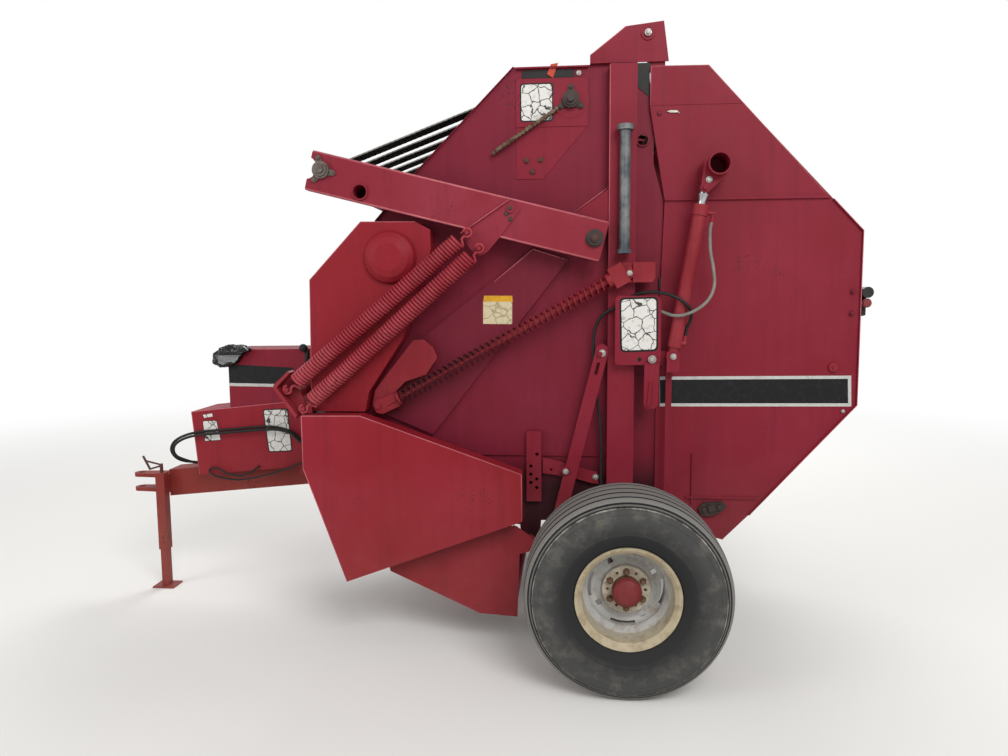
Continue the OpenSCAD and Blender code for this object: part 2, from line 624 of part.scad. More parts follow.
// Channels on both sides that swing the take-up roller, with the pipe that joins them
arm_front = 1281;
arm_pipe = arm_point(1038, -45);
arm_rear = -43;
arm_low = -91;
function arm_outline(walls) = inset([arm_point(arm_front, arm_low + arm_h), arm_point(arm_rear, arm_low + arm_h),
    arm_point(arm_rear, arm_low), arm_point(arm_front, arm_low)], walls);
arm_edge = 8;
arm_web = 6;
module along_arm(u0, u1) translate([arm_pivot[0], 0, arm_pivot[1]]) rotate([0, arm_tilt - 90, 0])
    translate([0, 0, u0]) linear_extrude(u1 - u0) children();
module tension_arms() color(faded_red) {
    both_sides() difference() {
        union() {
            along_arm(arm_rear, arm_front) polygon([[arm_low, arm_in], [arm_low, arm_out - arm_edge],
                [arm_low + arm_edge, arm_out], [arm_low + arm_h - arm_edge, arm_out],
                [arm_low + arm_h, arm_out - arm_edge], [arm_low + arm_h, arm_in],
                [arm_low + arm_h - arm_web, arm_in], [arm_low + arm_h - arm_web, arm_out - arm_edge],
                [arm_low + arm_h - arm_edge - 3, arm_out - arm_web], [arm_low + arm_edge + 3, arm_out - arm_web],
                [arm_low + arm_web, arm_out - arm_edge], [arm_low + arm_web, arm_in]]);
            cross_bar(arm_pivot, arm_pin_r + 14, arm_in, arm_out - 1);
            slab([[108, 1862], [321, 2003], [363, 1958], [272, 1837], [223, 1781], [185, 1763], [150, 1795]],
                 arm_out, arm_out + 8);
            slab(edge_strip([108, 1862], [321, 2003], 4), arm_out, arm_out + 16);
            cross_bar([324, 1963], 17, arm_out + 8, arm_out + 16);
            for (p = spring_upper) cross_bar(p, 9, arm_out, spring_y + 14);
        }
        cross_bar(arm_pivot, arm_pin_r + pin_play, arm_in - 1, arm_out + 1);
        cross_bar(arm_pipe, arm_pipe_r - 2, arm_in - 1, arm_out + 1);
        cross_bar(takeup, takeup_shaft_r + pin_play, arm_in - 1, arm_out + 1);
        cross_bar(arm_point(arm_front + 14, 2), 48, arm_in - 1, arm_out + 1);
    }
    difference() {
        cross_bar(arm_pipe, arm_pipe_r, -arm_out - 8, arm_out + 8);
        cross_bar(arm_pipe, arm_pipe_r - 6, -arm_out - 9, arm_out + 9);
    }
}

// Take-up roller between the arms' front ends, with its bearings
takeup_shaft_r = 16;
module takeup_roller() color(steel) {
    cross_bar(takeup, takeup_r, -arm_in, arm_in);
    cross_bar(takeup, takeup_shaft_r, -arm_out - 1, arm_out + 1);
    both_sides() cross_bar(takeup, takeup_r + 12, arm_in - 12, arm_in - 6);
    both_sides() flange_bearing(takeup, arm_out + seat, [103, 230, 345]);
}

// Pins on the side sheets on which the arms and the pickup swing
module pivot_pins() color(dark_steel) both_sides() {
    cross_bar(arm_pivot, arm_pin_r + 22, sheet_out, arm_in - seat);
    cross_bar(arm_pivot, arm_pin_r, arm_in - seat, arm_out + 6);
    cross_bar(arm_pivot, 38, arm_out + seat, arm_out + 8);
    cross_bar(arm_pivot, 31, arm_out + 8, arm_out + 20);
    cross_bar(arm_pivot, arm_pin_r, arm_out + 20, arm_out + 26);
    cross_bar(pickup_pivot, 16, sheet_out, pickup_in - 11);
}

// Lower side sheets of the tailgate, with lips along their rear edges, a ledge and an upright rod
module gate_sheets() color(red) both_sides() {
    difference() {
        slab(gate_outline, gate_in, gate_out);
        cross_bar(gate_pipe, gate_pipe_r + seat, gate_in - 1, gate_out + 1);
    }
    slab(gate_gusset_outline, gate_in, gate_out);
    slab(edge_strip([1700, 1998], [1829, 1862], 4), gate_out, gate_out + 10);
    slab(edge_strip([1829, 1862], [1832, 1108], 4), gate_out, gate_out + 10);
    slab(edge_strip([1832, 1108], [1384, 605], 4), gate_out, gate_out + 10);
    slab([[1101, 688], [1425, 688], [1425, 680], [1101, 680]], gate_out, gate_out + 8);
    bar([1129, gate_out + 4, 655], [1129, gate_out + 4, 883], 5);
}

// Upper side covers of the tailgate, with a bead across and a lip along the bottom
module gate_covers() color(red) both_sides() difference() {
    union() {
        slab(gate_cover_outline, gate_out, cover_out);
        slab([[924, 2412], [1300, 2412], [1309, 2403], [924, 2403]], cover_out - 1, cover_out + 2);
        slab([[988, 2013], [1676, 2013], [1687, 2001], [989, 2001]], cover_out - 1, cover_out + 6);
    }
    cross_bar(gate_pipe, gate_pipe_r + seat, gate_out - 1, cover_out + 7);
}

// Cross pipe, beams and hinge ears of the tailgate, with lugs that hold the rods' eyes
ear_in = sheet_in - 20;
ear_out = sheet_in - 7;
lug_t = 12;
lug_in = cylinder_y - eye_half - 6;
lug_out = cylinder_y + eye_half + 6;
module gate_frame() color(red) {
    upper = tangent(gate_pipe, 57.2, rod_pin, 21.4);
    lower = tangent(gate_pipe, -57.2, rod_pin, -21.4);
    difference() {
        union() {
            cross_bar(gate_pipe, gate_pipe_r, -sheet_out - gate_pipe_out, sheet_out + gate_pipe_out);
            both_sides() {
                for (y = [lug_in - lug_t, lug_out]) {
                    cross_bar(gate_pipe, 58, y, y + lug_t);
                    cross_bar(rod_pin, 22, y, y + lug_t);
                    slab([upper[0], upper[1], lower[1], lower[0]], y, y + lug_t);
                }
                cross_bar(rod_pin, 12, lug_out + lug_t, lug_out + lug_t + 8);
                cross_bar(rod_pin, 12, lug_in - lug_t - 8, lug_in - lug_t);
            }
        }
        both_sides() cross_bar(gate_pipe, gate_pipe_r - 6, sheet_out + 40, sheet_out + gate_pipe_out + 1);
    }
    both_sides() difference() {
        union() {
            cross_bar(gate_hinge, 38, ear_in, ear_out);
            slab([[889, 2738], [945, 2720], [985, 2590], [985, 2548], [1150, 2548], [1150, 2490], [940, 2490],
                  [880, 2690]], ear_in, ear_out);
        }
        cross_bar(gate_hinge, gate_pin_r + pin_play, ear_in - 1, ear_out + 1);
    }
    slab([[1090, 2548], [1150, 2548], [1150, 2488], [1090, 2488]], -gate_in, gate_in);
    slab([[1752, 1612], [1800, 1612], [1800, 1498], [1752, 1498]], -gate_in, gate_in);
    slab([[1370, 660], [1420, 700], [1420, 650], [1384, 612]], -gate_in, gate_in);
}

// Belt rollers in the tailgate
module gate_rollers() color(steel)
    for (p = [gate_top_roller, gate_upper_roller, gate_lower_roller, gate_floor_roller])
        cross_bar(p, roller_r, -gate_in, gate_in);

// Belts round the back of the tailgate
module gate_belts() color(belt_black) {
    r = roller_r + belt_on;
    belt_run(tangent(gate_top_roller, r, gate_upper_roller, r));
    belt_run(tangent(gate_upper_roller, r, gate_lower_roller, r));
    belt_run(tangent(gate_lower_roller, r, gate_floor_roller, r));
}

// Lamp brackets behind the tailgate, each with a black lamp, and the red lamps below those
module tail_lamps() color(dark_steel) both_sides() {
    slab([[1800, 1612], [1850, 1622], [1864, 1622], [1864, 1500], [1850, 1496], [1800, 1505]], gate_in - 30, gate_in - 26);
    cross_bar([1858, 1599], 24, gate_in - 26, gate_in + 10);
}
module marker_lamps() color("#701818") both_sides() {
    cross_bar([1857, 1553], 20, gate_in - 26, gate_in + 4);
    cross_bar([1857, 1553], 15, gate_in + 4, gate_in + 10);
}

// Hydraulic cylinder: the barrel turns on its base pin, and the rod slides out of it
stroke_l = norm(rod_pin - base_pin);
rod_shown = 69;
barrel_l = stroke_l - rod_shown;
module along_cylinder() {
    d = rod_pin - base_pin;
    translate([base_pin[0], cylinder_y, base_pin[1]]) rotate([0, 90 - atan2(d[1], d[0]), 0]) children();
}
module barrel() color(red) difference() {
    along_cylinder() union() {
        translate([0, 0, 20]) cylinder(r = 20, h = 21);
        translate([0, 0, 40]) cylinder(r = cylinder_bore_r + cylinder_wall, h = barrel_l - 40);
        translate([0, 0, barrel_l - 45]) cylinder(r = cylinder_bore_r + cylinder_wall + 5, h = 45);
        rotate([90, 0, 0]) translate([0, 0, -eye_half + seat]) cylinder(r = 28, h = 2 * (eye_half - seat));
        translate([0, 0, 62]) rotate([0, 90, 0]) cylinder(r = 10, h = 46);
        translate([38, 0, 62]) cylinder(r = 7.5, h = 34);
        translate([0, 0, barrel_l - 28]) rotate([0, 90, 0]) cylinder(r = 10, h = 64);
        translate([56, 0, barrel_l - 65]) cylinder(r = 7.5, h = 37);
    }
    cross_bar(base_pin, 14 + pin_play, cylinder_y - 40, cylinder_y + 40);
    along_cylinder() {
        translate([0, 0, 46]) cylinder(r = cylinder_bore_r, h = barrel_l - 70);
        translate([0, 0, barrel_l - 30]) cylinder(r = piston_rod_r + pin_play, h = 40);
    }
}
module piston_rod() color(steel) difference() {
    along_cylinder() union() {
        translate([0, 0, 60]) cylinder(r = piston_rod_r, h = stroke_l - 60);
        translate([0, 0, 50]) cylinder(r = cylinder_bore_r - pin_play, h = 30);
        translate([0, 0, barrel_l + 7]) cylinder(r1 = 14, r2 = 24, h = 38);
        translate([0, 0, stroke_l]) rotate([90, 0, 0]) translate([0, 0, -eye_half]) cylinder(r = 20, h = 2 * eye_half);
    }
    cross_bar(rod_pin, 12, cylinder_y - 60, cylinder_y + 60);
}
module barrel_left() on_left() barrel();
module barrel_right() barrel();
module rod_left() on_left() piston_rod();
module rod_right() piston_rod();

// Dished steel wheel: rim, disc with slots at its edge, square holes and stud holes
hub_r = 57;
stud_r = 8;
disc_z = 13;
hub_end = 42;
module on_spindle() translate([axle_x, wheel_y, wheel_z]) rotate([-90, 0, 0]) children();
module at_studs(offset_angle) for (k = [0:5]) rotate(60 * k + offset_angle) translate([stud_circle_r, 0, 0]) children();
module wheel() color(cream) on_spindle() difference() {
    rotate_extrude($fn = 72) polygon([[178, -112], [rim_d / 2, -127], [rim_d / 2, -120], [190, -108], [184, -70],
        [162, -58], [162, 2], [184, 24], [190, 108], [rim_d / 2, 120], [rim_d / 2, 127], [197, 122], [182, 108],
        [177, 30], [156, 6], [156, -10], [146, -9], [128, -14], [102, disc_z - 18], [97, disc_z], [hub_r + 1, disc_z],
        [hub_r + 1, disc_z - 8], [91, disc_z - 8], [94, -13], [128, -22], [148, -17], [156, -18], [156, -54],
        [178, -66]]);
    at_studs(30) cylinder(r = stud_r + 1, h = 40);
    at_studs(0) cylinder(r = 6.5, h = 40);
    for (k = [0:5], a = [16, 44]) rotate(60 * k + a) translate([83, -1.5, disc_z - 3]) cube([20, 3, 10]);
    for (k = [0:3]) {
        rotate(90 * k - 31) translate([117, -11, -40]) cube([22, 22, 50]);
        rotate(90 * k - 15) rotate_extrude(angle = 40, $fn = 72) translate([142, -26]) square([13.5, 30]);
    }
}

// Hub with its flange behind the disc, studs and nuts
module hub() color(dark_steel) on_spindle() difference() {
    union() {
        translate([0, 0, -95]) cylinder(r = hub_r, h = hub_end + 95);
        translate([0, 0, disc_z - 18]) cylinder(r = 88, h = 10 - seat);
        at_studs(30) {
            translate([0, 0, disc_z - 12]) cylinder(r = stud_r, h = 32);
            translate([0, 0, disc_z + seat]) cylinder(r = 14, h = 12, $fn = 6);
        }
    }
    translate([0, 0, -100]) cylinder(r = spindle_r + pin_play, h = 135);
    translate([0, 0, -100]) cylinder(r = 50, h = 1 + 5 - seat);
}

// Domed cap over the hub's end
module hub_cap() color(red) on_spindle() rotate_extrude()
    polygon([[0, hub_end], [60, hub_end], [60, 52], [54, 64], [38, 77], [18, 83], [0, 84]]);
module wheel_left() on_left() wheel();
module wheel_right() wheel();
module hub_left() on_left() hub();
module hub_right() hub();
module cap_left() on_left() hub_cap();
module cap_right() hub_cap();

// Ribbed implement tyre
module tyre() color("#2a2a2c") translate([axle_x, wheel_y, wheel_z]) rotate([-90, 0, 0]) rotate_extrude($fn = 72) {
    r = tyre_d / 2;
    h = tyre_w / 2;
    difference() {
        polygon([[rim_d / 2 + seat, -118], [r - 130, -h + 3], [r - 90, -h], [r - 45, -h + 8], [r - 14, -h + 30],
            [r, -h + 60], [r, h - 60], [r - 14, h - 30], [r - 45, h - 8], [r - 90, h], [r - 130, h - 3],
            [rim_d / 2 + seat, 118], [190 + seat, 107], [190 + seat, -107]]);
        for (z = [-62, 0, 62]) translate([r - 12, z - 6]) square([20, 12]);
    }
}
module tyre_left() on_left() tyre();
module tyre_right() tyre();

// Sides, cross tube and strippers of the pickup
module pickup_frame() color(red) {
    both_sides() {
        slab(pickup_side_outline, pickup_in, pickup_out);
        difference() {
            cross_bar(pickup_pivot, 32, pickup_in - 26, pickup_in);
            cross_bar(pickup_pivot, 16 + pin_play, pickup_in - 36, pickup_in - 6);
        }
    }
    cross_bar([322, 215], 25, -pickup_in, pickup_in);
    cross_bar(reel_centre + (stripper_r + 3 + seat + 8) * [cos(92.5), sin(92.5)], 8, -pickup_in, pickup_in);
}

// Curved bands between the tines
stripper_r = 168;
module pickup_strippers() color(red) {
    count = floor(2 * (reel_half_w - 20) / tine_pitch);
    for (i = [0:count - 1])
        translate([reel_centre[0], (i + 0.5 - count / 2) * tine_pitch - 24, reel_centre[1]]) rotate([-90, 0, 0])
            rotate([0, 0, 100]) rotate_extrude(angle = 170, $fn = 40) translate([stripper_r, 0]) square([3, 48]);
}

// Tined reel
module pickup_reel() color(dark_steel) {
    cross_bar(reel_centre, 28, -pickup_in + seat, pickup_in - seat);
    count = floor(2 * (reel_half_w - 20) / tine_pitch);
    for (k = [0:3]) {
        a = 45 + k * 90;
        p = reel_centre + tine_bar_circle_r * [cos(a), sin(a)];
        cross_bar(p, 14, -reel_half_w, reel_half_w);
        tip = reel_centre + reel_r * [cos(a - 8), sin(a - 8)];
        side = tine_t / 2 * [-sin(a), cos(a)];
        for (i = [0:count]) slab([p + side, tip + side, tip - side, p - side],
            (i - count / 2) * tine_pitch - tine_t / 2, (i - count / 2) * tine_pitch + tine_t / 2);
    }
    both_sides() difference() {
        cross_bar(reel_centre, tine_bar_circle_r + 20, reel_half_w - 6, reel_half_w);
    }
}

// A hose swept along its route: n-sided rings at each point, square to the run, without twist from ring to ring
function unit(v) = v / norm(v);
function run_dir(p, i) = unit(p[min(i + 1, len(p) - 1)] - p[max(i - 1, 0)]);
function carry(side, t) = unit(side - (side * t) * t);
function ring_sides(p) = [for (i = 0, side = unit(cross(run_dir(p, 0), [0.31, 0.52, 0.8])); i < len(p);
    i = i + 1, side = carry(side, run_dir(p, min(i, len(p) - 1)))) side];
module hose(p, r, n = 8) {
    side = ring_sides(p);
    polyhedron(points = [for (i = [0:len(p) - 1], k = [0:n - 1]) let (w = cross(run_dir(p, i), side[i]))
            p[i] + r * (cos(360 * k / n) * side[i] + sin(360 * k / n) * w)],
        faces = tube_faces(len(p), n));
}

upper_hose = [[-560.3, -185, 800], [-650, -185, 803], [-760, -178, 815], [-840, -168, 838], [-880, -165, 876],
    [-940, -165, 900], [-1010, -165, 910], [-1100, -165, 906], [-1264, -165, 891], [-1389, -165, 880],
    [-1480, -160, 860], [-1550, -150, 824], [-1582, -135, 776], [-1574, -110, 728], [-1544, -80, 700],
    [-1505, -44, 687], [-1468, -26, 682], [-1440.3, -26, 682]];
lower_hose = [[-560.3, -205, 800], [-650, -205, 802], [-760, -197, 812], [-840, -186, 836], [-880, -183, 872],
    [-935, -183, 893], [-1016, -183, 898], [-1265, -183, 877], [-1390, -183, 866], [-1475, -180, 846],
    [-1535, -172, 812], [-1556, -158, 772], [-1550, -137, 738], [-1522, -110, 714], [-1490, -74, 692],
    [-1462, -50, 682], [-1440.3, -50, 682]];

lamp_cable_r = 5;
cable_route = [[-560.3, -215, 730], [-610, -215, 730], [-690, -206, 728], [-842, -176, 716], [-924, -163, 684], [-1021, -161, 652],
    [-1171, -161, 620], [-1252, -161, 622], [-1322, -161, 636], [-1356, -163, 660], [-1346, -167, 681],
    [-1310, -173, 684], [-1240, -178, 654], [-1175, -178, 644], [-1120, -173, 664], [-1094, -165, 684],
    [-1084, -158, 690], [-1084, -150.3, 690]];
module lamp_cable() color(belt_black) hose(cable_route, lamp_cable_r);

lower_port_hose = [[1075.6, 700, 1418.5], [1081, 701, 1450], [1094, 710, 1484], [1094, 728, 1520], [1072, 740, 1553],
    [1030, 740, 1582], [980, 724, 1600], [930, 702, 1606], [884, 684, 1601], [858, 676, 1592],
    [850, 667, 1588], [850, 655.3, 1588]];
upper_port_hose = [[1175.6, 700, 1896.7], [1170, 701, 1862], [1172, 706, 1780], [1186, 712, 1700], [1188, 728, 1630],
    [1162, 746, 1572], [1112, 754, 1530], [1060, 750, 1508], [1020, 734, 1506], [1002, 714, 1511], [986, 696, 1517],
    [955, 682, 1528], [905, 674, 1541], [860, 675, 1547], [845, 667, 1548], [845, 655.3, 1548]];
module cylinder_hoses() color(belt_black) on_left() {
    hose(lower_port_hose, hose_r);
    hose(upper_port_hose, hose_r);
}

side_route = [[800, 655.3, 1545], [800, 667, 1545], [786, 677, 1541], [752, 674, 1528], [716, 658, 1500],
    [692, 646, 1450], [684, 641, 1380], [688, 640, 1250], [704, 640, 1120], [718, 640, 1000], [722, 640, 860],
    [722, 640, 720], [721, 628, 640], [720, 611, 612], [720, 600.3, 612]];
module frame_hoses() color(belt_black) {
    hose(upper_hose, hose_r);
    hose(lower_hose, hose_r);
    on_left() hose(side_route, hose_r);
}

side_sheets();
posts();
braces();
top_hood();
bearing_plates();
top_bearings();
hanging_chain();
cross_members();
axle();
drawbar();
hitch_clevis();
gearbox();
gearbox_shield();
soft_cover();
driveline_shield();
jack_tube();
jack_leg();
jack_crank();
drive_shield();
pickup_shield();
frame_rollers();
front_belts();
takeup_belts();
top_belts();
spring_anchors();
tension_springs();
idler_linkage();
idler_spring();
manual_tube();
latch_linkage();
control_plate();
cylinder_brackets();
pivot_pins();
tension_arms();
takeup_roller();
gate_sheets();
gate_covers();
gate_frame();
gate_rollers();
gate_belts();
tail_lamps();
marker_lamps();
barrel_left();
barrel_right();
rod_left();
rod_right();
wheel_left();
wheel_right();
hub_left();
hub_right();
cap_left();
cap_right();
tyre_left();
tyre_right();
pickup_frame();
pickup_strippers();
pickup_reel();
frame_hoses();
lamp_cable();
cylinder_hoses();
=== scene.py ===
import math

import bmesh
import bpy
from mathutils import Matrix, Vector, noise


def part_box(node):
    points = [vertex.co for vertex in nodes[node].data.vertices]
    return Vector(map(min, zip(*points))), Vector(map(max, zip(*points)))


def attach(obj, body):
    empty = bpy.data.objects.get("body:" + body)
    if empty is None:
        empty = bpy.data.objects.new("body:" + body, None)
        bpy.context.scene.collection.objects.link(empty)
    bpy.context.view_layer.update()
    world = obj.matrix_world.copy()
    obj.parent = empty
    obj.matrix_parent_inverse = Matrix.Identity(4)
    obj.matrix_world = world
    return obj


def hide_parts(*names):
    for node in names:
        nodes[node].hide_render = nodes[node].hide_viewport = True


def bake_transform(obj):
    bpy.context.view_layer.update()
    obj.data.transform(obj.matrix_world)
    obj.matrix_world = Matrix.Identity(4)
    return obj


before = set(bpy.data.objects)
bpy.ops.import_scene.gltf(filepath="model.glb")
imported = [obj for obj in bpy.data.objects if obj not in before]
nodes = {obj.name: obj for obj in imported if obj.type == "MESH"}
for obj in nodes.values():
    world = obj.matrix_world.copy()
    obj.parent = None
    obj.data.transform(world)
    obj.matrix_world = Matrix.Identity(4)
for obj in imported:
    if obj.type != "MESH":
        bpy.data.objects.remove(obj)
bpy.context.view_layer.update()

# Camera: it stands on the machine's left, level with the springs, and looks square at the side, a little down.
# The angles and the focal length, 757 pixels in a picture 1008 wide, come from fitting wheels, posts and drawbar.
eye = Vector((0.5828, -4.0196, 1.5878))
yaw, pitch, roll = (math.radians(a) for a in (-5.0438, 6.0941, -0.3545))
camera = bpy.data.objects.new("camera", bpy.data.cameras.new("camera"))
camera.data.sensor_width = 36
camera.data.lens = 36 * 757 / 1008
ahead = Vector((math.sin(yaw) * math.cos(pitch), math.cos(yaw) * math.cos(pitch), -math.sin(pitch)))
right = Vector((math.cos(yaw), -math.sin(yaw), 0))
up = right.cross(ahead)
right, up = (right * math.cos(roll) + up * math.sin(roll), up * math.cos(roll) - right * math.sin(roll))
camera.matrix_world = Matrix((right, up, -ahead)).transposed().to_4x4()
camera.location = eye
bpy.context.collection.objects.link(camera)
bpy.context.scene.camera = camera


# Hoses and cable: black rubber hydraulic hoses on the drawbar, down the left side and to the left cylinder's two
# ports, and the lamp cable. Each follows the route of its CAD tube, rounded into one smooth curve.
def linear(hex_colour):
    parts = [int(hex_colour[i:i + 2], 16) / 255 for i in (0, 2, 4)]
    return [p / 12.92 if p <= 0.04045 else ((p + 0.055) / 1.055) ** 2.4 for p in parts] + [1]


def feed(node, inputs):
    # Gives a node's inputs a value, a socket, or a node, which stands for its first output in use.
    for key, value in inputs.items():
        if isinstance(value, bpy.types.Node):
            value = next(socket for socket in value.outputs if socket.enabled)
        if isinstance(value, bpy.types.NodeSocket):
            node.id_data.links.new(value, node.inputs[key])
        else:
            node.inputs[key].default_value = value


def add(tree, kind, inputs=None, **settings):
    # Adds a shader node of the kind, with its settings and inputs.
    node = tree.nodes.new("ShaderNode" + kind)
    for key, value in settings.items():
        setattr(node, key, value)
    feed(node, inputs or {})
    return node


def new_material(name, roughness, metallic=0.0, specular=0.5):
    # A new material, with its nodes, its shader and the place of each point on the piece.
    material = bpy.data.materials.new(name)
    material.use_nodes = True
    tree = material.node_tree
    shader = tree.nodes["Principled BSDF"]
    feed(shader, {"Roughness": roughness, "Metallic": metallic, "Specular IOR Level": specular})
    return material, tree, shader, add(tree, "TexCoord").outputs["Object"]


def hose_rubber(name, colour, dust):
    # Extruded nitrile rubber cover: satin black, greyed by field dust in soft blotches about 40 mm across.
    material, tree, shader, place = new_material(name, 0.5, specular=0.25)
    cloud = add(tree, "TexNoise", {"Vector": place, "Scale": 25.0, "Detail": 5.0})
    mix = add(tree, "Mix", {"Factor": cloud, "A": linear(colour), "B": linear(dust)}, data_type="RGBA")
    grain = add(tree, "TexNoise", {"Vector": place, "Scale": 900.0})
    bump = add(tree, "Bump", {"Height": grain, "Strength": 0.2, "Distance": 0.0004})
    feed(shader, {"Base Color": mix, "Normal": bump})
    return material


def smooth_route(points, steps=4):
    # A Catmull-Rom curve through the points, in millimetres, with 4 steps between each two.
    points = [Vector(p) / 1000 for p in points]
    ends = [2 * points[0] - points[1]] + points + [2 * points[-1] - points[-2]]
    route = []
    for a, b, c, d in zip(ends, ends[1:], ends[2:], ends[3:]):
        for k in range(steps):
            t = k / steps
            route.append(0.5 * (2 * b + (c - a) * t + (2 * a - 5 * b + 4 * c - d) * t * t
                                + (3 * b - a - 3 * c + d) * t ** 3))
    return route + [points[-1]]


def hose_curve(name, route, radius, material):
    # A round curve along the route, with closed ends.
    curve = bpy.data.curves.new(name, "CURVE")
    curve.dimensions = "3D"
    curve.bevel_depth = radius
    curve.bevel_resolution = 3
    curve.use_fill_caps = True
    spline = curve.splines.new("POLY")
    spline.points.add(len(route) - 1)
    for point, place in zip(spline.points, route):
        point.co = (*place, 1)
    hose = bpy.data.objects.new(name, curve)
    bpy.context.collection.objects.link(hose)
    curve.materials.append(material)
    return hose


def worked_mesh(piece):
    # The mesh that a curve or a piece with modifiers comes to. The piece itself goes.
    mesh = bpy.data.meshes.new_from_object(piece.evaluated_get(bpy.context.evaluated_depsgraph_get()))
    bpy.data.objects.remove(piece)
    return mesh


hose_d, cable_d = 0.014, 0.010
black_hose = hose_rubber("nitrile_hose_rubber", "0a0a0b", "211f1e")
grey_hose = hose_rubber("dusty_hose_rubber", "55534f", "8b877e")
upper_hose = smooth_route([
    (-560.3, -185, 800), (-650, -185, 803), (-760, -178, 815), (-840, -168, 838), (-880, -165, 876), (-940, -165, 900),
    (-1010, -165, 910), (-1100, -165, 906), (-1264, -165, 891), (-1389, -165, 880), (-1480, -160, 860),
    (-1550, -150, 824), (-1582, -135, 776), (-1574, -110, 728), (-1544, -80, 700), (-1505, -44, 687),
    (-1468, -26, 682), (-1440.3, -26, 682)])
lower_hose = smooth_route([
    (-560.3, -205, 800), (-650, -205, 802), (-760, -197, 812), (-840, -186, 836), (-880, -183, 872), (-935, -183, 893),
    (-1016, -183, 898), (-1265, -183, 877), (-1390, -183, 866), (-1475, -180, 846), (-1535, -172, 812),
    (-1556, -158, 772), (-1550, -137, 738), (-1522, -110, 714), (-1490, -74, 692), (-1462, -50, 682),
    (-1440.3, -50, 682)])
side_hose = smooth_route([
    (800, -655.3, 1545), (800, -667, 1545), (786, -677, 1541), (752, -674, 1528), (716, -658, 1500),
    (692, -646, 1450), (684, -641, 1380), (688, -640, 1250), (704, -640, 1120), (718, -640, 1000), (722, -640, 860),
    (722, -640, 720), (721, -628, 640), (720, -611, 612), (720, -600.3, 612)])
for name, route in (("drawbar_hose_upper", upper_hose), ("drawbar_hose_lower", lower_hose), ("side_hose", side_hose)):
    hose = hose_curve(name, route, hose_d / 2, black_hose)
    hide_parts("frame_hoses")
    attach(hose, "frame")

lamp_route = smooth_route([
    (-560.3, -215, 730), (-610, -215, 730), (-690, -206, 728), (-842, -176, 716), (-924, -163, 684),
    (-1021, -161, 652), (-1171, -161, 620), (-1252, -161, 622), (-1322, -161, 636), (-1356, -163, 660),
    (-1346, -167, 681), (-1310, -173, 684), (-1240, -178, 654), (-1175, -178, 644), (-1120, -173, 664),
    (-1094, -165, 684), (-1084, -158, 690), (-1084, -150.3, 690)])
cable = hose_curve("lamp_cable_jacket", lamp_route, cable_d / 2, black_hose)
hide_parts("lamp_cable")
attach(cable, "frame")

lower_port = smooth_route([
    (850, -655.3, 1588), (850, -667, 1588), (858, -676, 1592), (884, -684, 1601), (930, -702, 1606),
    (980, -724, 1600), (1030, -740, 1582), (1072, -740, 1553), (1094, -728, 1520), (1094, -710, 1484),
    (1081, -701, 1450), (1075.6, -700, 1418.5)])
upper_port = smooth_route([
    (845, -655.3, 1548), (845, -667, 1548), (860, -675, 1547), (905, -674, 1541), (955, -682, 1528),
    (986, -696, 1517), (1002, -714, 1511), (1020, -734, 1506), (1060, -750, 1508), (1112, -754, 1530),
    (1162, -746, 1572), (1188, -728, 1630), (1186, -712, 1700), (1172, -706, 1780), (1170, -701, 1862),
    (1175.6, -700, 1896.7)])
for name, route, rubber in (("lower_port_hose", lower_port, black_hose), ("upper_port_hose", upper_port, grey_hose)):
    mesh = worked_mesh(hose_curve(name + "_line", route, hose_d / 2, rubber))
    mesh.shade_smooth()
    hose = bpy.data.objects.new(name, mesh)
    bpy.context.collection.objects.link(hose)
    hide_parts("cylinder_hoses")
    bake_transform(hose)


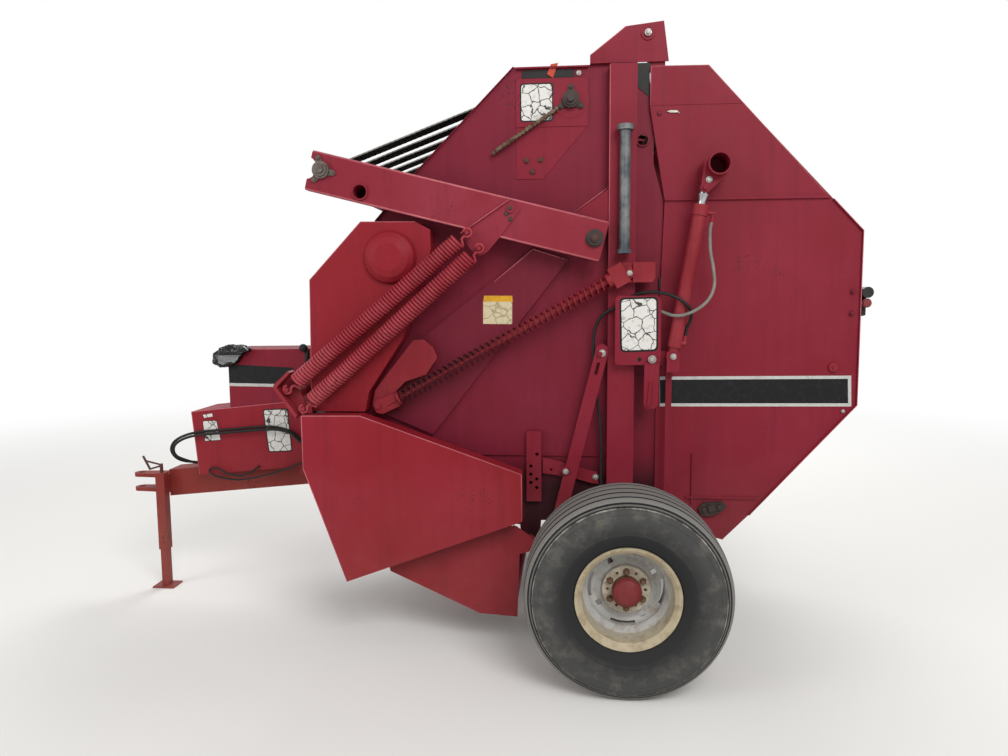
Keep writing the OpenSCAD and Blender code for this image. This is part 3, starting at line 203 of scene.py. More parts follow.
# Painted sheet steel: the side sheets, posts, braces, shields, tailgate and pickup. Sprayed maroon enamel, chalked by
# the sun, with dust on the lower parts, rain streaks, chips to the primer and rust specks.
def enamel(name, colour, faded, fade, dust, rust, shaded_below=None, greased=None):
    # Alkyd enamel sprayed on steel: satin, with faint waves of the sheet in its gloss. fade, dust and rust say how much
    # of each it has. The next height is that of the painted shade, under which the sheet is painted near black, and
    # greased where along X the grease ends.
    material, tree, shader, place = new_material(name, 0.5, specular=0.2)
    apart = add(tree, "SeparateXYZ", {"Vector": place})
    height, along = apart.outputs["Z"], apart.outputs["X"]
    # sun-chalked areas half a metre across
    cloud = add(tree, "TexNoise", {"Vector": place, "Scale": 2.2, "Detail": 6.0, "Roughness": 0.62})
    chalk = add(tree, "MapRange", {"Value": cloud, "From Min": 0.42, "From Max": 0.72, "To Max": fade})
    base = add(tree, "Mix", {"Factor": chalk, "A": linear(colour), "B": linear(faded)}, data_type="RGBA")
    # rain streaks some 35 mm wide and 600 mm long
    tall = add(tree, "Mapping", {"Vector": place, "Scale": (28.0, 28.0, 1.6)})
    rain = add(tree, "TexNoise", {"Vector": tall, "Scale": 1.0, "Detail": 3.0})
    streak = add(tree, "MapRange", {"Value": rain, "From Min": 0.5, "From Max": 0.8, "To Max": 0.4})
    shade = [c * 0.55 for c in linear(colour)[:3]] + [1]
    streaked = add(tree, "Mix", {"Factor": streak, "A": base, "B": shade}, data_type="RGBA")
    # field dust, thicker towards the ground
    low = add(tree, "MapRange", {"Value": height, "From Min": 0.9, "From Max": 0.15, "To Min": 0.02, "To Max": dust})
    haze = add(tree, "TexNoise", {"Vector": place, "Scale": 9.0, "Detail": 8.0, "Roughness": 0.7})
    amount = add(tree, "Math", {0: low, 1: haze}, operation="MULTIPLY")
    dusty = add(tree, "Mix", {"Factor": amount, "A": streaked, "B": linear("8d7a6c")}, data_type="RGBA")
    # chips and rust specks 2 to 8 mm across
    speck = add(tree, "TexNoise", {"Vector": place, "Scale": 85.0, "Detail": 3.0, "Roughness": 0.6})
    patch = add(tree, "TexNoise", {"Vector": place, "Scale": 4.5, "Detail": 4.0})
    both = add(tree, "Math", {0: speck, 1: patch}, operation="MULTIPLY")
    chips = add(tree, "MapRange", {"Value": both, "From Min": 0.40 - 0.05 * rust, "From Max": 0.46 - 0.05 * rust,
                                   "To Max": 0.8})
    finish = add(tree, "Mix", {"Factor": chips, "A": dusty, "B": linear("3c1a16")}, data_type="RGBA")
    if shaded_below:
        # painted shade of the dark recess low on the sheet, which leaves it nearly black by the axle
        line = add(tree, "MapRange", {"Value": height, "From Min": shaded_below, "From Max": shaded_below - 0.14,
                                      "To Max": 0.88})
        behind = add(tree, "MapRange", {"Value": along, "From Min": 0.15, "From Max": 0.40})
        painted_shade = add(tree, "Math", {0: line, 1: behind}, operation="MULTIPLY")
        finish = add(tree, "Mix", {"Factor": painted_shade, "A": finish, "B": linear("1c0a0e")}, data_type="RGBA")
    if greased:
        # black grease with rust in it, from the low end of a spring up to about its middle
        ragged = add(tree, "Math", {0: haze, 1: 0.3, 2: along}, operation="MULTIPLY_ADD")
        reach = add(tree, "MapRange", {"Value": ragged, "From Min": greased[1], "From Max": greased[0], "To Max": 0.85})
        finish = add(tree, "Mix", {"Factor": reach, "A": finish, "B": linear("1f1314")}, data_type="RGBA")
    dull = add(tree, "MapRange", {"Value": haze, "To Min": 0.4, "To Max": 0.68})
    waves = add(tree, "TexNoise", {"Vector": place, "Scale": 3.0, "Detail": 1.0})
    swell = add(tree, "Bump", {"Height": waves, "Strength": 0.5, "Distance": 0.012})
    peel = add(tree, "Bump", {"Height": chips, "Strength": 0.5, "Distance": -0.0006, "Normal": swell})
    feed(shader, {"Base Color": finish, "Roughness": dull, "Normal": peel})
    return material


def paint(material, *names):
    # Gives CAD nodes the material.
    for name in names:
        for place in nodes[name].material_slots:
            place.material = material


red = enamel("maroon_enamel", "741023", "852037", 0.5, 0.25, 0.3)
paint(red, "posts", "top_hood", "bearing_plates", "cross_members", "gate_sheets", "gate_covers", "gate_frame",
      "gearbox_shield", "latch_linkage", "cylinder_brackets", "control_plate")
# the side sheets carry painted shade: near black below 0.868 m behind the pickup, for the dark recess there
sheet_red = enamel("chamber_sheet_enamel_and_painted_shade", "6b0e24", "7a1c36", 0.5, 0.1, 0.3, shaded_below=0.868)
paint(sheet_red, "side_sheets")
deep_red = enamel("brace_enamel", "640f24", "781b33", 0.5, 0.2, 0.3)
paint(deep_red, "braces")
bright_red = enamel("shield_enamel", "80111e", "922338", 0.45, 0.2, 0.25)
paint(bright_red, "drive_shield", "pickup_shield", "pickup_frame", "pickup_strippers", "driveline_shield")
worn_red = enamel("worn_red_enamel", "7c1a24", "9a3c44", 0.6, 0.2, 0.9)
paint(worn_red, "idler_linkage", "spring_anchors", "barrel_left", "barrel_right")
spring_red = enamel("greased_spring_enamel", "7c1a24", "9a3c44", 0.6, 0.2, 0.9, greased=(0.30, 0.75))
paint(spring_red, "idler_spring")
faded_red = enamel("sun_faded_enamel", "7c1c2c", "903646", 0.6, 0.2, 1.0)
paint(faded_red, "tension_arms")
drawbar_red = enamel("drawbar_enamel", "7a1d1b", "93352c", 0.6, 0.35, 1.2)
paint(drawbar_red, "drawbar", "hitch_clevis", "jack_tube", "jack_leg")
crank_red = enamel("rusted_crank_enamel", "4a2420", "6b4034", 0.8, 0.3, 1.6)
paint(crank_red, "jack_crank")


# Bends and rims of the pressed sheets and channels: steel folded on a press. Each is a slim bead along the fold, fast
# on its sheet, in pale red enamel that is a painted highlight where the fold catches the light.
def new_object(name, shape):
    mesh = bpy.data.meshes.new(name)
    shape.to_mesh(mesh)
    shape.free()
    piece = bpy.data.objects.new(name, mesh)
    bpy.context.collection.objects.link(piece)
    return piece


def finish_piece(name, shape, materials, body=None, smooth=True):
    # Makes the piece of its finished shape.
    bmesh.ops.remove_doubles(shape, verts=shape.verts, dist=1e-6)
    bmesh.ops.recalc_face_normals(shape, faces=shape.faces)
    piece = new_object(name, shape)
    for material in materials:
        piece.data.materials.append(material)
    if smooth:
        piece.data.shade_smooth()
    if body:
        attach(piece, body)
    return piece


def beads(shape, y, radius, *points):
    # A slim round bar along each fold from point to point, X and Z in millimetres, at y.
    for (x1, z1), (x2, z2) in zip(points, points[1:]):
        a, b = Vector((x1, y, z1)) / 1000, Vector((x2, y, z2)) / 1000
        turn = (b - a).to_track_quat("Z", "Y").to_matrix().to_4x4()
        bmesh.ops.create_cone(shape, cap_ends=True, segments=8, radius1=radius / 1000, radius2=radius / 1000,
                              depth=(b - a).length, matrix=Matrix.Translation((a + b) / 2) @ turn)


# pale red enamel on the beads: a painted highlight along the folds
highlight_enamel = enamel("painted_highlight_edge_enamel", "a8505a", "c8787c", 0.8, 0.2, 0.6)
folds = bmesh.new()
for side in (-1, 1):
    beads(folds, side * 619, 2.5, (240, 1655), (416, 1799), (569, 1750))
    beads(folds, side * 619, 2.5, (597, 1956), (746, 2062))
    beads(folds, side * 653.5, 2.2, (748, 1640), (748, 2568))
    beads(folds, side * 599, 2.2, (664, 2624), (815, 2739))
beads(folds, -798.5, 2.4, (-604, 1070), (-339, 1072), (371, 820), (373, 611))
beads(folds, -798.5, 2.4, (-603, 1070), (-602, 833), (-417, 319))
beads(folds, -698.5, 2.2, (-341, 1921), (-96, 1918))
beads(folds, -698.5, 2.2, (-341, 1921), (-579, 1669), (-588, 1080))
beads(folds, -148.5, 2.4, (-1449, 984), (-930, 1039), (-782, 1039))
beads(folds, -148.5, 2.4, (-1449, 984), (-1420, 642))
beads(folds, -143.5, 2.4, (-1232, 1320), (-766, 1324))
finish_piece("frame_sheet_bends", folds, [highlight_enamel], "frame")
gate_folds = bmesh.new()
for side in (-1, 1):
    beads(gate_folds, side * 621, 2.0, (1698.5, 1998), (1827.5, 1862), (1830.5, 1110))
    beads(gate_folds, side * 621, 2.0, (1830.5, 1108), (1383.5, 606))
    beads(gate_folds, side * 615, 1.8, (923, 2566), (1164, 2563), (1686, 2002))
    beads(gate_folds, side * 615, 1.8, (923, 2566), (922, 2400))
finish_piece("tailgate_sheet_bends", gate_folds, [highlight_enamel], "tailgate")
arm_pivot, arm_slope = (684, 1835), math.radians(14.27)


def on_arm(u, v):
    # The place u along the arm from its pivot and v up from its middle line, as X and Z in millimetres.
    return (arm_pivot[0] - u * math.cos(arm_slope) + v * math.sin(arm_slope),
            arm_pivot[1] + u * math.sin(arm_slope) + v * math.cos(arm_slope))


arm_folds = bmesh.new()
for side in (-1, 1):
    for v in (77, -87):
        beads(arm_folds, side * 721, 5, on_arm(-40, v), on_arm(1278, v))
    beads(arm_folds, side * 739, 2.2, (109, 1863), (321, 2002))
finish_piece("arm_flange_bends", arm_folds, [highlight_enamel], "tension_arm")

# Belts: seven endless rubber belts with a ribbed face and frayed edges. They run from the slope roller round the
# take-up roller, up to the drive roller, and across to the tailgate.
def tangent(p, r1, q, r2):
    # The straight run between two rollers. A negative radius takes the roller's other side.
    d = math.dist(p, q)
    u = ((q[0] - p[0]) / d, (q[1] - p[1]) / d)
    s = (r1 - r2) / d
    c = math.sqrt(1 - s * s)
    n = (u[0] * s - u[1] * c, u[1] * s + u[0] * c)
    return (p[0] + n[0] * r1, p[1] + n[1] * r1), (q[0] + n[0] * r2, q[1] + n[1] * r2)


def even_route(points, step):
    # The same line in equal steps.
    lengths = [math.dist(a, b) for a, b in zip(points, points[1:])]
    count = round(sum(lengths) / step)
    route, run, k = [], 0.0, 0
    for i in range(count + 1):
        at = sum(lengths) * i / count
        while k < len(lengths) - 1 and at > run + lengths[k]:
            run += lengths[k]
            k += 1
        t = min(1.0, (at - run) / lengths[k])
        route.append((points[k][0] + (points[k + 1][0] - points[k][0]) * t,
                      points[k][1] + (points[k + 1][1] - points[k][1]) * t))
    return route


def arc(centre, radius, start, stop, count):
    # The inner points of an arc round a roller.
    return [(centre[0] + radius * math.cos(start + (stop - start) * k / count),
             centre[1] + radius * math.sin(start + (stop - start) * k / count)) for k in range(1, count)]


def belt_set(name, points, node, belt_materials):
    # Each belt is a grid laid along the run, with every second edge point drawn in, and given its thickness.
    route = even_route(points, fray_step)
    shape = bmesh.new()
    section = shape.verts.layers.int.new("section")
    for k in range(belt_count):
        middle = (k - (belt_count - 1) / 2) * belt_pitch
        grid = bmesh.ops.create_grid(shape, x_segments=len(route) - 1, y_segments=4, size=1)
        for v in grid["verts"]:
            i = round((v.co.x + 1) / 2 * (len(route) - 1))
            tooth = fray_depth if i % 2 and abs(v.co.y) > 0.9 else 0.0
            across = middle + v.co.y * belt_width / 2 - math.copysign(tooth, v.co.y)
            v[section] = i
            v.co = (route[i][0] / 1000, across / 1000, route[i][1] / 1000)
    solid = bmesh.ops.extrude_face_region(shape, geom=list(shape.faces))
    lifted = {v for v in solid["geom"] if isinstance(v, bmesh.types.BMVert)}
    for v in shape.verts:
        i = v[section]
        a, b = route[max(i - 1, 0)], route[min(i + 1, len(route) - 1)]
        d = math.dist(a, b)
        half = (belt_t if v in lifted else -belt_t) / 2000
        v.co += Vector((-(b[1] - a[1]) / d * half, 0, (b[0] - a[0]) / d * half))
    bmesh.ops.recalc_face_normals(shape, faces=shape.faces)
    for face in shape.faces:
        face.material_index = 1 if abs(face.normal.y) > 0.5 else 0
    belts = finish_piece(name, shape, belt_materials, smooth=False)
    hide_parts(node)
    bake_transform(belts)


def ribbed_rubber(name, colour, dust, rib):
    # Calendered rubber belting: matt black with shallow cross ribs, greyed by crop dust. The ribs are drawn coarser
    # than the real ones, so that they show. A wave of scale 1 repeats every 314 mm.
    material, tree, shader, place = new_material(name, 0.7, specular=0.3)
    cloud = add(tree, "TexNoise", {"Vector": place, "Scale": 7.0, "Detail": 6.0})
    worn = add(tree, "MapRange", {"Value": cloud, "From Min": 0.4, "From Max": 0.7})
    mix = add(tree, "Mix", {"Factor": worn, "A": linear(colour), "B": linear(dust)}, data_type="RGBA")
    ribs = add(tree, "TexWave", {"Vector": place, "Scale": 314.16 / rib, "Distortion": 0.6}, bands_direction="X")
    bump = add(tree, "Bump", {"Height": ribs.outputs["Fac"], "Strength": 0.5, "Distance": 0.0012})
    feed(shader, {"Base Color": mix, "Normal": bump})
    return material


belt_count, belt_pitch, belt_width, belt_t, fray_step, fray_depth = 7, 165, 102, 6, 13, 3.0
belt = ribbed_rubber("belt_rubber", "111112", "2a2826", 47.374)
frayed = ribbed_rubber("frayed_belt_edge", "8e8b84", "5c5a55", 23.687)
# the rollers' middles, and the radii on which the belts' middle lines run
takeup, drive_roller, slope_roller, gate_roller = on_arm(1225, 6), (581, 2440), (418, 2167), (1030, 2440)
takeup_r, drive_r, slope_r, gate_r = 47.3, 138.3, 48.3, 48.3
low_front, low_rear = tangent(takeup, -takeup_r, slope_roller, slope_r)
high_front, high_rear = tangent(takeup, takeup_r, drive_roller, drive_r)
turn_low = math.atan2(low_front[1] - takeup[1], low_front[0] - takeup[0]) % (2 * math.pi)
turn_high = math.atan2(high_front[1] - takeup[1], high_front[0] - takeup[0])
belt_set("takeup_belt_runs", [low_rear, low_front] + arc(takeup, takeup_r, turn_low, turn_high, 12)
         + [high_front, high_rear], "takeup_belts", [belt, frayed])
across_front, across_rear = tangent(drive_roller, drive_r, gate_roller, gate_r)
belt_set("top_belt_runs", [across_front, across_rear], "top_belts",
         [belt, frayed])
paint(belt, "front_belts", "gate_belts")

# Tension springs: four close-coiled springs of 13 mm wire with a hook at each end, in worn maroon enamel. They hang
# between the pins on the anchors and those on the arms.
def add_worked(shape, piece):
    # Adds to the shape what a curve or a piece with modifiers comes to. The piece itself goes.
    mesh = worked_mesh(piece)
    shape.from_mesh(mesh)
    bpy.data.meshes.remove(mesh)


coil_paint = enamel("spring_enamel", "8c2430", "b4525a", 0.7, 0.1, 0.8)
coil_r, wire_r, coil_start, coil_pitch, coil_steps, pin_y = 0.0315, 0.0065, 0.055, 0.0150, 14, 768
hook = [(0.0315, 0, 0.057), (0.030, 0.004, 0.050), (0.020, 0.004, 0.044), (0.006, 0, 0.038), (0.004, 0, 0.028)]
hook += [(0.0172 * math.sin(math.radians(t)), 0, 0.0172 * math.cos(math.radians(t))) for t in range(20, 331, 24)]
for side, hand in ((-1, "left"), (1, "right")):
    for place, low, high in (("outer", (-674, 1184), (142.0, 1862.4)), ("inner", (-603, 1098), (193.2, 1795.8))):
        a, b = (Vector((x, side * pin_y, z)) / 1000 for x, z in (low, high))
        length = (b - a).length
        coiled = length - 2 * coil_start
        coils = round(coiled / coil_pitch)
        shape = bmesh.new()
        bmesh.ops.create_circle(shape, segments=8, radius=wire_r, matrix=Matrix.Translation((coil_r, 0, coil_start))
                                @ Matrix.Rotation(math.pi / 2, 4, "X"))
        bmesh.ops.spin(shape, geom=list(shape.edges) + list(shape.verts), cent=(0, 0, 0), axis=(0, 0, 1),
                       dvec=(0, 0, coiled / coils / coil_steps), angle=2 * math.pi * coils, steps=coils * coil_steps,
                       use_merge=False)
        for line in (hook, [(x, -y, length - z) for x, y, z in hook]):
            add_worked(shape, hose_curve("hook_line", line, wire_r, coil_paint))
        along = (b - a).normalized()
        sideways = Vector((along.z, 0, -along.x))
        shape.transform(Matrix.Translation(a) @ Matrix((sideways, (0, 1, 0), along)).transposed().to_4x4())
        spring = finish_piece(f"tension_spring_{place}_{hand}", shape, [coil_paint])
        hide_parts("tension_springs")
        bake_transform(spring)

# Steel and iron that carries no sound paint: rollers, rods, pins, bearings, gearbox and axle. Rolled, turned or cast,
# dulled by weather, with grease and brown stains 20 to 80 mm across.
def bare_metal(name, colour, stain, roughness, metallic, patches, scale=18.0):
    # Oxidised steel: the stain takes the gloss away where it lies. patches says how dense it is, and scale how fine.
    material, tree, shader, place = new_material(name, roughness, metallic)
    cloud = add(tree, "TexNoise", {"Vector": place, "Scale": scale, "Detail": 7.0, "Roughness": 0.65})
    amount = add(tree, "MapRange", {"Value": cloud, "From Min": 0.4, "From Max": 0.65, "To Max": patches})
    mix = add(tree, "Mix", {"Factor": amount, "A": linear(colour), "B": linear(stain)}, data_type="RGBA")
    dull = add(tree, "MapRange", {"Value": amount, "To Min": roughness, "To Max": min(1.0, roughness + 0.25)})
    grain = add(tree, "TexNoise", {"Vector": place, "Scale": 400.0, "Detail": 2.0})
    bump = add(tree, "Bump", {"Height": grain, "Strength": 0.25, "Distance": 0.0005})
    feed(shader, {"Base Color": mix, "Roughness": dull, "Normal": bump})
    return material


worn_steel = bare_metal("weathered_roller_steel", "8f8b84", "5c4636", 0.4, 0.85, 0.6)
paint(worn_steel, "frame_rollers", "gate_rollers")
bearing_steel = bare_metal("weathered_bearing_steel", "6c655f", "4a372c", 0.5, 0.6, 0.8, 30.0)
paint(bearing_steel, "takeup_roller")
chrome = bare_metal("chromed_rod_steel", "b4b6b8", "6d5b4c", 0.22, 0.95, 0.5)
paint(chrome, "rod_left", "rod_right")
greasy = bare_metal("greasy_cast_iron", "2b2523", "46332a", 0.5, 0.35, 0.8, 30.0)
paint(greasy, "axle", "gearbox", "pivot_pins", "pickup_reel", "top_bearings")
hub_iron = bare_metal("rusted_hub_iron", "6e4f3c", "40291f", 0.6, 0.1, 0.8, 60.0)
paint(hub_iron, "hub_left", "hub_right")
rusty = bare_metal("dry_rusty_chain_steel", "6e5f4c", "4c2f20", 0.7, 0.3, 1.0, 45.0)
paint(rusty, "hanging_chain")
# dark grey enamel with paler scuffs; its blue tint is a painted reflection of the sky
tube_paint_and_reflection = bare_metal("scuffed_grey_enamel_with_painted_blue_reflection", "363e46", "8b8a86", 0.4, 0.2, 0.6, 14.0)
paint(tube_paint_and_reflection, "manual_tube")


# Lamps: two red marker lamps with acrylic lenses, moulded with fine upright prisms, and two tail lamps in bodies of
# textured black polypropylene. They are screwed to brackets behind the tailgate.
def acrylic_lens(name, colour, deep):
    # Injection-moulded acrylic: clear gloss over a saturated body, ribbed every 8 mm.
    material, tree, shader, place = new_material(name, 0.12)
    feed(shader, {"Coat Weight": 0.6, "Coat Roughness": 0.06})
    ribs = add(tree, "TexWave", {"Vector": place, "Scale": 39.0, "Distortion": 0.0}, bands_direction="X")
    mix = add(tree, "Mix", {"Factor": ribs.outputs["Fac"], "A": linear(colour), "B": linear(deep)}, data_type="RGBA")
    bump = add(tree, "Bump", {"Height": ribs.outputs["Fac"], "Strength": 0.5, "Distance": 0.001})
    feed(shader, {"Base Color": mix, "Normal": bump})
    return material


red_lens = acrylic_lens("red_acrylic_lens", "8c1318", "4c080b")
paint(red_lens, "marker_lamps")
lamp_body = hose_rubber("textured_lamp_polypropylene", "1a1a1b", "2e2c2a")
paint(lamp_body, "tail_lamps")


# Wheels: pressed steel discs welded in drop-centre rims, cream enamel with rust at the welds and dust in the well. The
# hub cap is pressed steel in the machine's maroon.
axle_x, axle_z, tyre_y = 0.81, 0.413, 1.03


def from_axle(tree, place):
    # The distance of a point from the wheels' axle.
    flat = add(tree, "Mapping", {"Vector": place, "Location": (-axle_x, 0, -axle_z), "Scale": (1, 0, 1)})
    return add(tree, "VectorMath", {0: flat}, operation="LENGTH")


def ring_enamel(name, inner, middle, outer, stain, rusting):
    # Enamel sprayed on pressed steel, in three rings about the axle that follow the cap, the disc and the rim.
    material, tree, shader, place = new_material(name, 0.5, specular=0.3)
    radius = from_axle(tree, place)
    disc = add(tree, "MapRange", {"Value": radius, "From Min": 0.094, "From Max": 0.102})
    rim = add(tree, "MapRange", {"Value": radius, "From Min": 0.172, "From Max": 0.182})
    first = add(tree, "Mix", {"Factor": disc, "A": linear(inner), "B": linear(middle)}, data_type="RGBA")
    second = add(tree, "Mix", {"Factor": rim, "A": first, "B": linear(outer)}, data_type="RGBA")
    cloud = add(tree, "TexNoise", {"Vector": place, "Scale": 22.0, "Detail": 8.0, "Roughness": 0.7})
    amount = add(tree, "MapRange", {"Value": cloud, "From Min": 0.47, "From Max": 0.66, "To Max": rusting})
    stained = add(tree, "Mix", {"Factor": amount, "A": second, "B": linear(stain)}, data_type="RGBA")
    bump = add(tree, "Bump", {"Height": amount, "Strength": 0.4, "Distance": 0.0008})
    feed(shader, {"Base Color": stained, "Normal": bump})
    return material


rim_enamel = ring_enamel("dusty_cream_rim_enamel", "b0a794", "a9a8a4", "aa9e83", "6a4c34", 0.5)
paint(rim_enamel, "wheel_left", "wheel_right")
cap_red = enamel("hub_cap_enamel", "6c161c", "84343a", 0.6, 0.25, 0.8)
paint(cap_red, "cap_left", "cap_right")

# Tyres: ribbed implement tyres of black rubber with worn ribs, blank moulded rings on the sidewalls, and pale field
# dust pressed into the tread and shoulders. Each is one section spun about the axle.
# The vulcanised rubber is matt, near black by the rim and lighter outwards; the tread's grey is partly dust that sticks
# to it and partly a painted sheen where light grazes it.
tyre_rubber, tree, shader, place = new_material("dusty_tyre_rubber_with_painted_sheen", 0.85, specular=0.3)
radius = from_axle(tree, place)
mottle = add(tree, "TexNoise", {"Vector": place, "Scale": 14.0, "Detail": 9.0, "Roughness": 0.72})
wall = add(tree, "MapRange", {"Value": radius, "From Min": 0.25, "From Max": 0.33})
# the tread's lighter grey: partly dust, partly a painted sheen
tread = add(tree, "MapRange", {"Value": radius, "From Min": 0.378, "From Max": 0.392})
lower = add(tree, "Mix", {"Factor": wall, "A": linear("232324"), "B": linear("40403f")}, data_type="RGBA")
# brown field dust that clings in blotches 30 to 90 mm across, mostly on the outer half of the wall
cling = add(tree, "MapRange", {"Value": mottle, "From Min": 0.5, "From Max": 0.66, "To Max": 0.36})
reach = add(tree, "Math", {0: cling, 1: wall}, operation="MULTIPLY")
dusty = add(tree, "Mix", {"Factor": reach, "A": lower, "B": linear("7b756b")}, data_type="RGBA")
upper = add(tree, "Mix", {"Factor": tread, "A": dusty, "B": linear("72706c")}, data_type="RGBA")
# the grooves are painted near black, as painted shade in them: each is given by its distance from the tyre's middle
# plane and by half its width
across = add(tree, "SeparateXYZ", {"Vector": place}).outputs["Y"]
from_machine = add(tree, "Math", {0: across}, operation="ABSOLUTE")
from_middle = add(tree, "Math", {0: from_machine, 1: tyre_y}, operation="SUBTRACT")
from_middle = add(tree, "Math", {0: from_middle}, operation="ABSOLUTE")
near = add(tree, "Math", {0: radius, 1: 0.372}, operation="GREATER_THAN")
for groove, half in ((0.0, 0.006), (0.0615, 0.0065), (0.113, 0.0055), (0.1395, 0.0022), (0.1490, 0.0022)):
    inside = add(tree, "Math", {0: from_middle, 1: groove, 2: half}, operation="COMPARE")
    amount = add(tree, "Math", {0: inside, 1: near}, operation="MULTIPLY")
    upper = add(tree, "Mix", {"Factor": amount, "A": upper, "B": linear("161616")}, data_type="RGBA")
# the moulded line at the shoulder holds pale dust
edge = add(tree, "Math", {0: radius, 1: 0.374, 2: 0.002}, operation="COMPARE")
broken = add(tree, "MapRange", {"Value": mottle, "From Min": 0.42, "From Max": 0.62, "To Max": 0.6})
edge = add(tree, "Math", {0: edge, 1: broken}, operation="MULTIPLY")
upper = add(tree, "Mix", {"Factor": edge, "A": upper, "B": linear("b4afa5")}, data_type="RGBA")
grit = add(tree, "TexNoise", {"Vector": place, "Scale": 220.0, "Detail": 3.0})
bump = add(tree, "Bump", {"Height": grit, "Strength": 0.5, "Distance": 0.0012})
feed(shader, {"Base Color": upper, "Normal": bump})
# half of the section: distances from the middle plane and from the axle, from the bead outwards
tyre_half = [(0.118, 0.2105), (0.130, 0.222), (0.146, 0.250), (0.1505, 0.264), (0.1530, 0.266), (0.1535, 0.272),
             (0.1525, 0.274), (0.156, 0.290), (0.159, 0.322), (0.157, 0.350), (0.1585, 0.352), (0.157, 0.362),
             (0.1545, 0.3695), (0.1548, 0.3725), (0.1525, 0.3755), (0.1485, 0.3735), (0.1475, 0.3795),
             (0.1430, 0.3870), (0.1400, 0.3845), (0.1392, 0.3905), (0.1345, 0.3985), (0.124, 0.406),
             (0.118, 0.4075), (0.117, 0.400), (0.109, 0.400), (0.108, 0.409), (0.068, 0.412), (0.067, 0.401),
             (0.056, 0.401), (0.055, 0.4128), (0.006, 0.413), (0.005, 0.403)]


def turned(shape, x, y, z, side, sides, radius1, radius2, depth):
    # A bar or cone with its middle at the place, which points out of the machine's side. All in metres.
    bmesh.ops.create_cone(shape, cap_ends=True, segments=sides, radius1=radius1, radius2=radius2, depth=depth,
                          matrix=Matrix.Translation((x, y, z)) @ Matrix.Rotation(side * -math.pi / 2, 4, "X"))


for side, name, body in ((-1, "tyre_left", "road_wheel_left"), (1, "tyre_right", "road_wheel_right")):
    shape = bmesh.new()
    section = tyre_half + [(-y, r) for y, r in reversed(tyre_half)]
    ring = [shape.verts.new((axle_x, side * tyre_y + y, axle_z + r)) for y, r in section]
    edges = [shape.edges.new(pair) for pair in zip(ring, ring[1:] + ring[:1])]
    bmesh.ops.spin(shape, geom=edges + ring, cent=(axle_x, 0, axle_z), axis=(0, 1, 0), angle=2 * math.pi, steps=96,
                   use_merge=True)
    carcass = finish_piece(name + "_carcass", shape, [tyre_rubber], body)
    carcass.data.set_sharp_from_angle(angle=math.radians(35))
    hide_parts(name)
    # the valve stem stands out of the rim's well
    stem = bmesh.new()
    turned(stem, axle_x, side * 1.13, axle_z + 0.192, side, 12, 0.0055, 0.004, 0.03)
    finish_piece(f"valve_stem_{name[5:]}", stem, [black_hose], body)

# Bolts, nuts and pins' nuts: zinc-plated hex heads on washers, bright where new and brown where old. They hold the
# plates, bearings, guards and cylinder pins.
zinc = bare_metal("bright_zinc_plate", "a9a8a3", "5f5147", 0.42, 0.7, 0.6, 90.0)
old_bolt = bare_metal("rusty_bolt_steel", "3b2a28", "532c20", 0.6, 0.2, 0.9, 50.0)


def hex_head(shape, x, z, surface, radius, side=-1):
    # A washer 1.35 times as wide, a six-sided head and a low domed end, standing on a surface. All in millimetres.
    height = radius * 0.75
    for sides, r1, r2, low, high in ((20, 1.35, 1.35, 0, 0.16), (6, 1.0, 1.0, 0.16, 0.85), (12, 0.84, 0.6, 0.85, 1.0)):
        middle = side * (surface + height * (low + high) / 2) / 1000
        turned(shape, x / 1000, middle, z / 1000, side, sides, radius * r1 / 1000, radius * r2 / 1000,
               height * (high - low) / 1000)


# Each row gives X, Z, the surface's distance from the machine's middle and the head's radius. Heads on both sides come
# first, then those on the left only.
for name, finish, slot, body, both, left in (
        ("frame_bright_bolts", zinc, "bare_steel", "frame", ((1022, 1330, 735, 10), (615, 2551, 606, 8)),
         ((934, 1317, 719, 13), (722, 1340, 665, 12), (563, 808, 675, 10), (698, 772, 626, 11), (-281, 1101, 672, 10),
          (834, 1687, 714, 9))),
        ("frame_old_bolts", old_bolt, "bare_steel", "frame",
         ((387, 2185, 606, 9), (449, 2187, 606, 9), (413, 2137, 606, 9), (684, 1835, 751, 14)), ()),
        ("tailgate_bright_bolts", zinc, "bare_steel", "tailgate",
         ((909, 2708, 612, 11), (1773, 1082, 620, 6), (1155, 2070, 740, 10)), ()),
        ("tailgate_painted_bolts", deep_red, "red_paint", "tailgate",
         ((1795, 1603, 620, 8), (1793, 1510, 620, 8), (960, 2370, 616, 9)), ()),
        ("arm_bracket_bolts", old_bolt, "bare_steel", "tension_arm",
         ((323, 1966, 741, 8), (307, 1943, 733, 8), (323, 1920, 733, 8)), ())):
    shape = bmesh.new()
    for side in (-1, 1):
        for x, z, surface, radius in both:
            hex_head(shape, x, z, surface, radius, side)
    for x, z, surface, radius in left:
        hex_head(shape, x, z, surface, radius)
    finish_piece(name, shape, [finish], body, smooth=False)


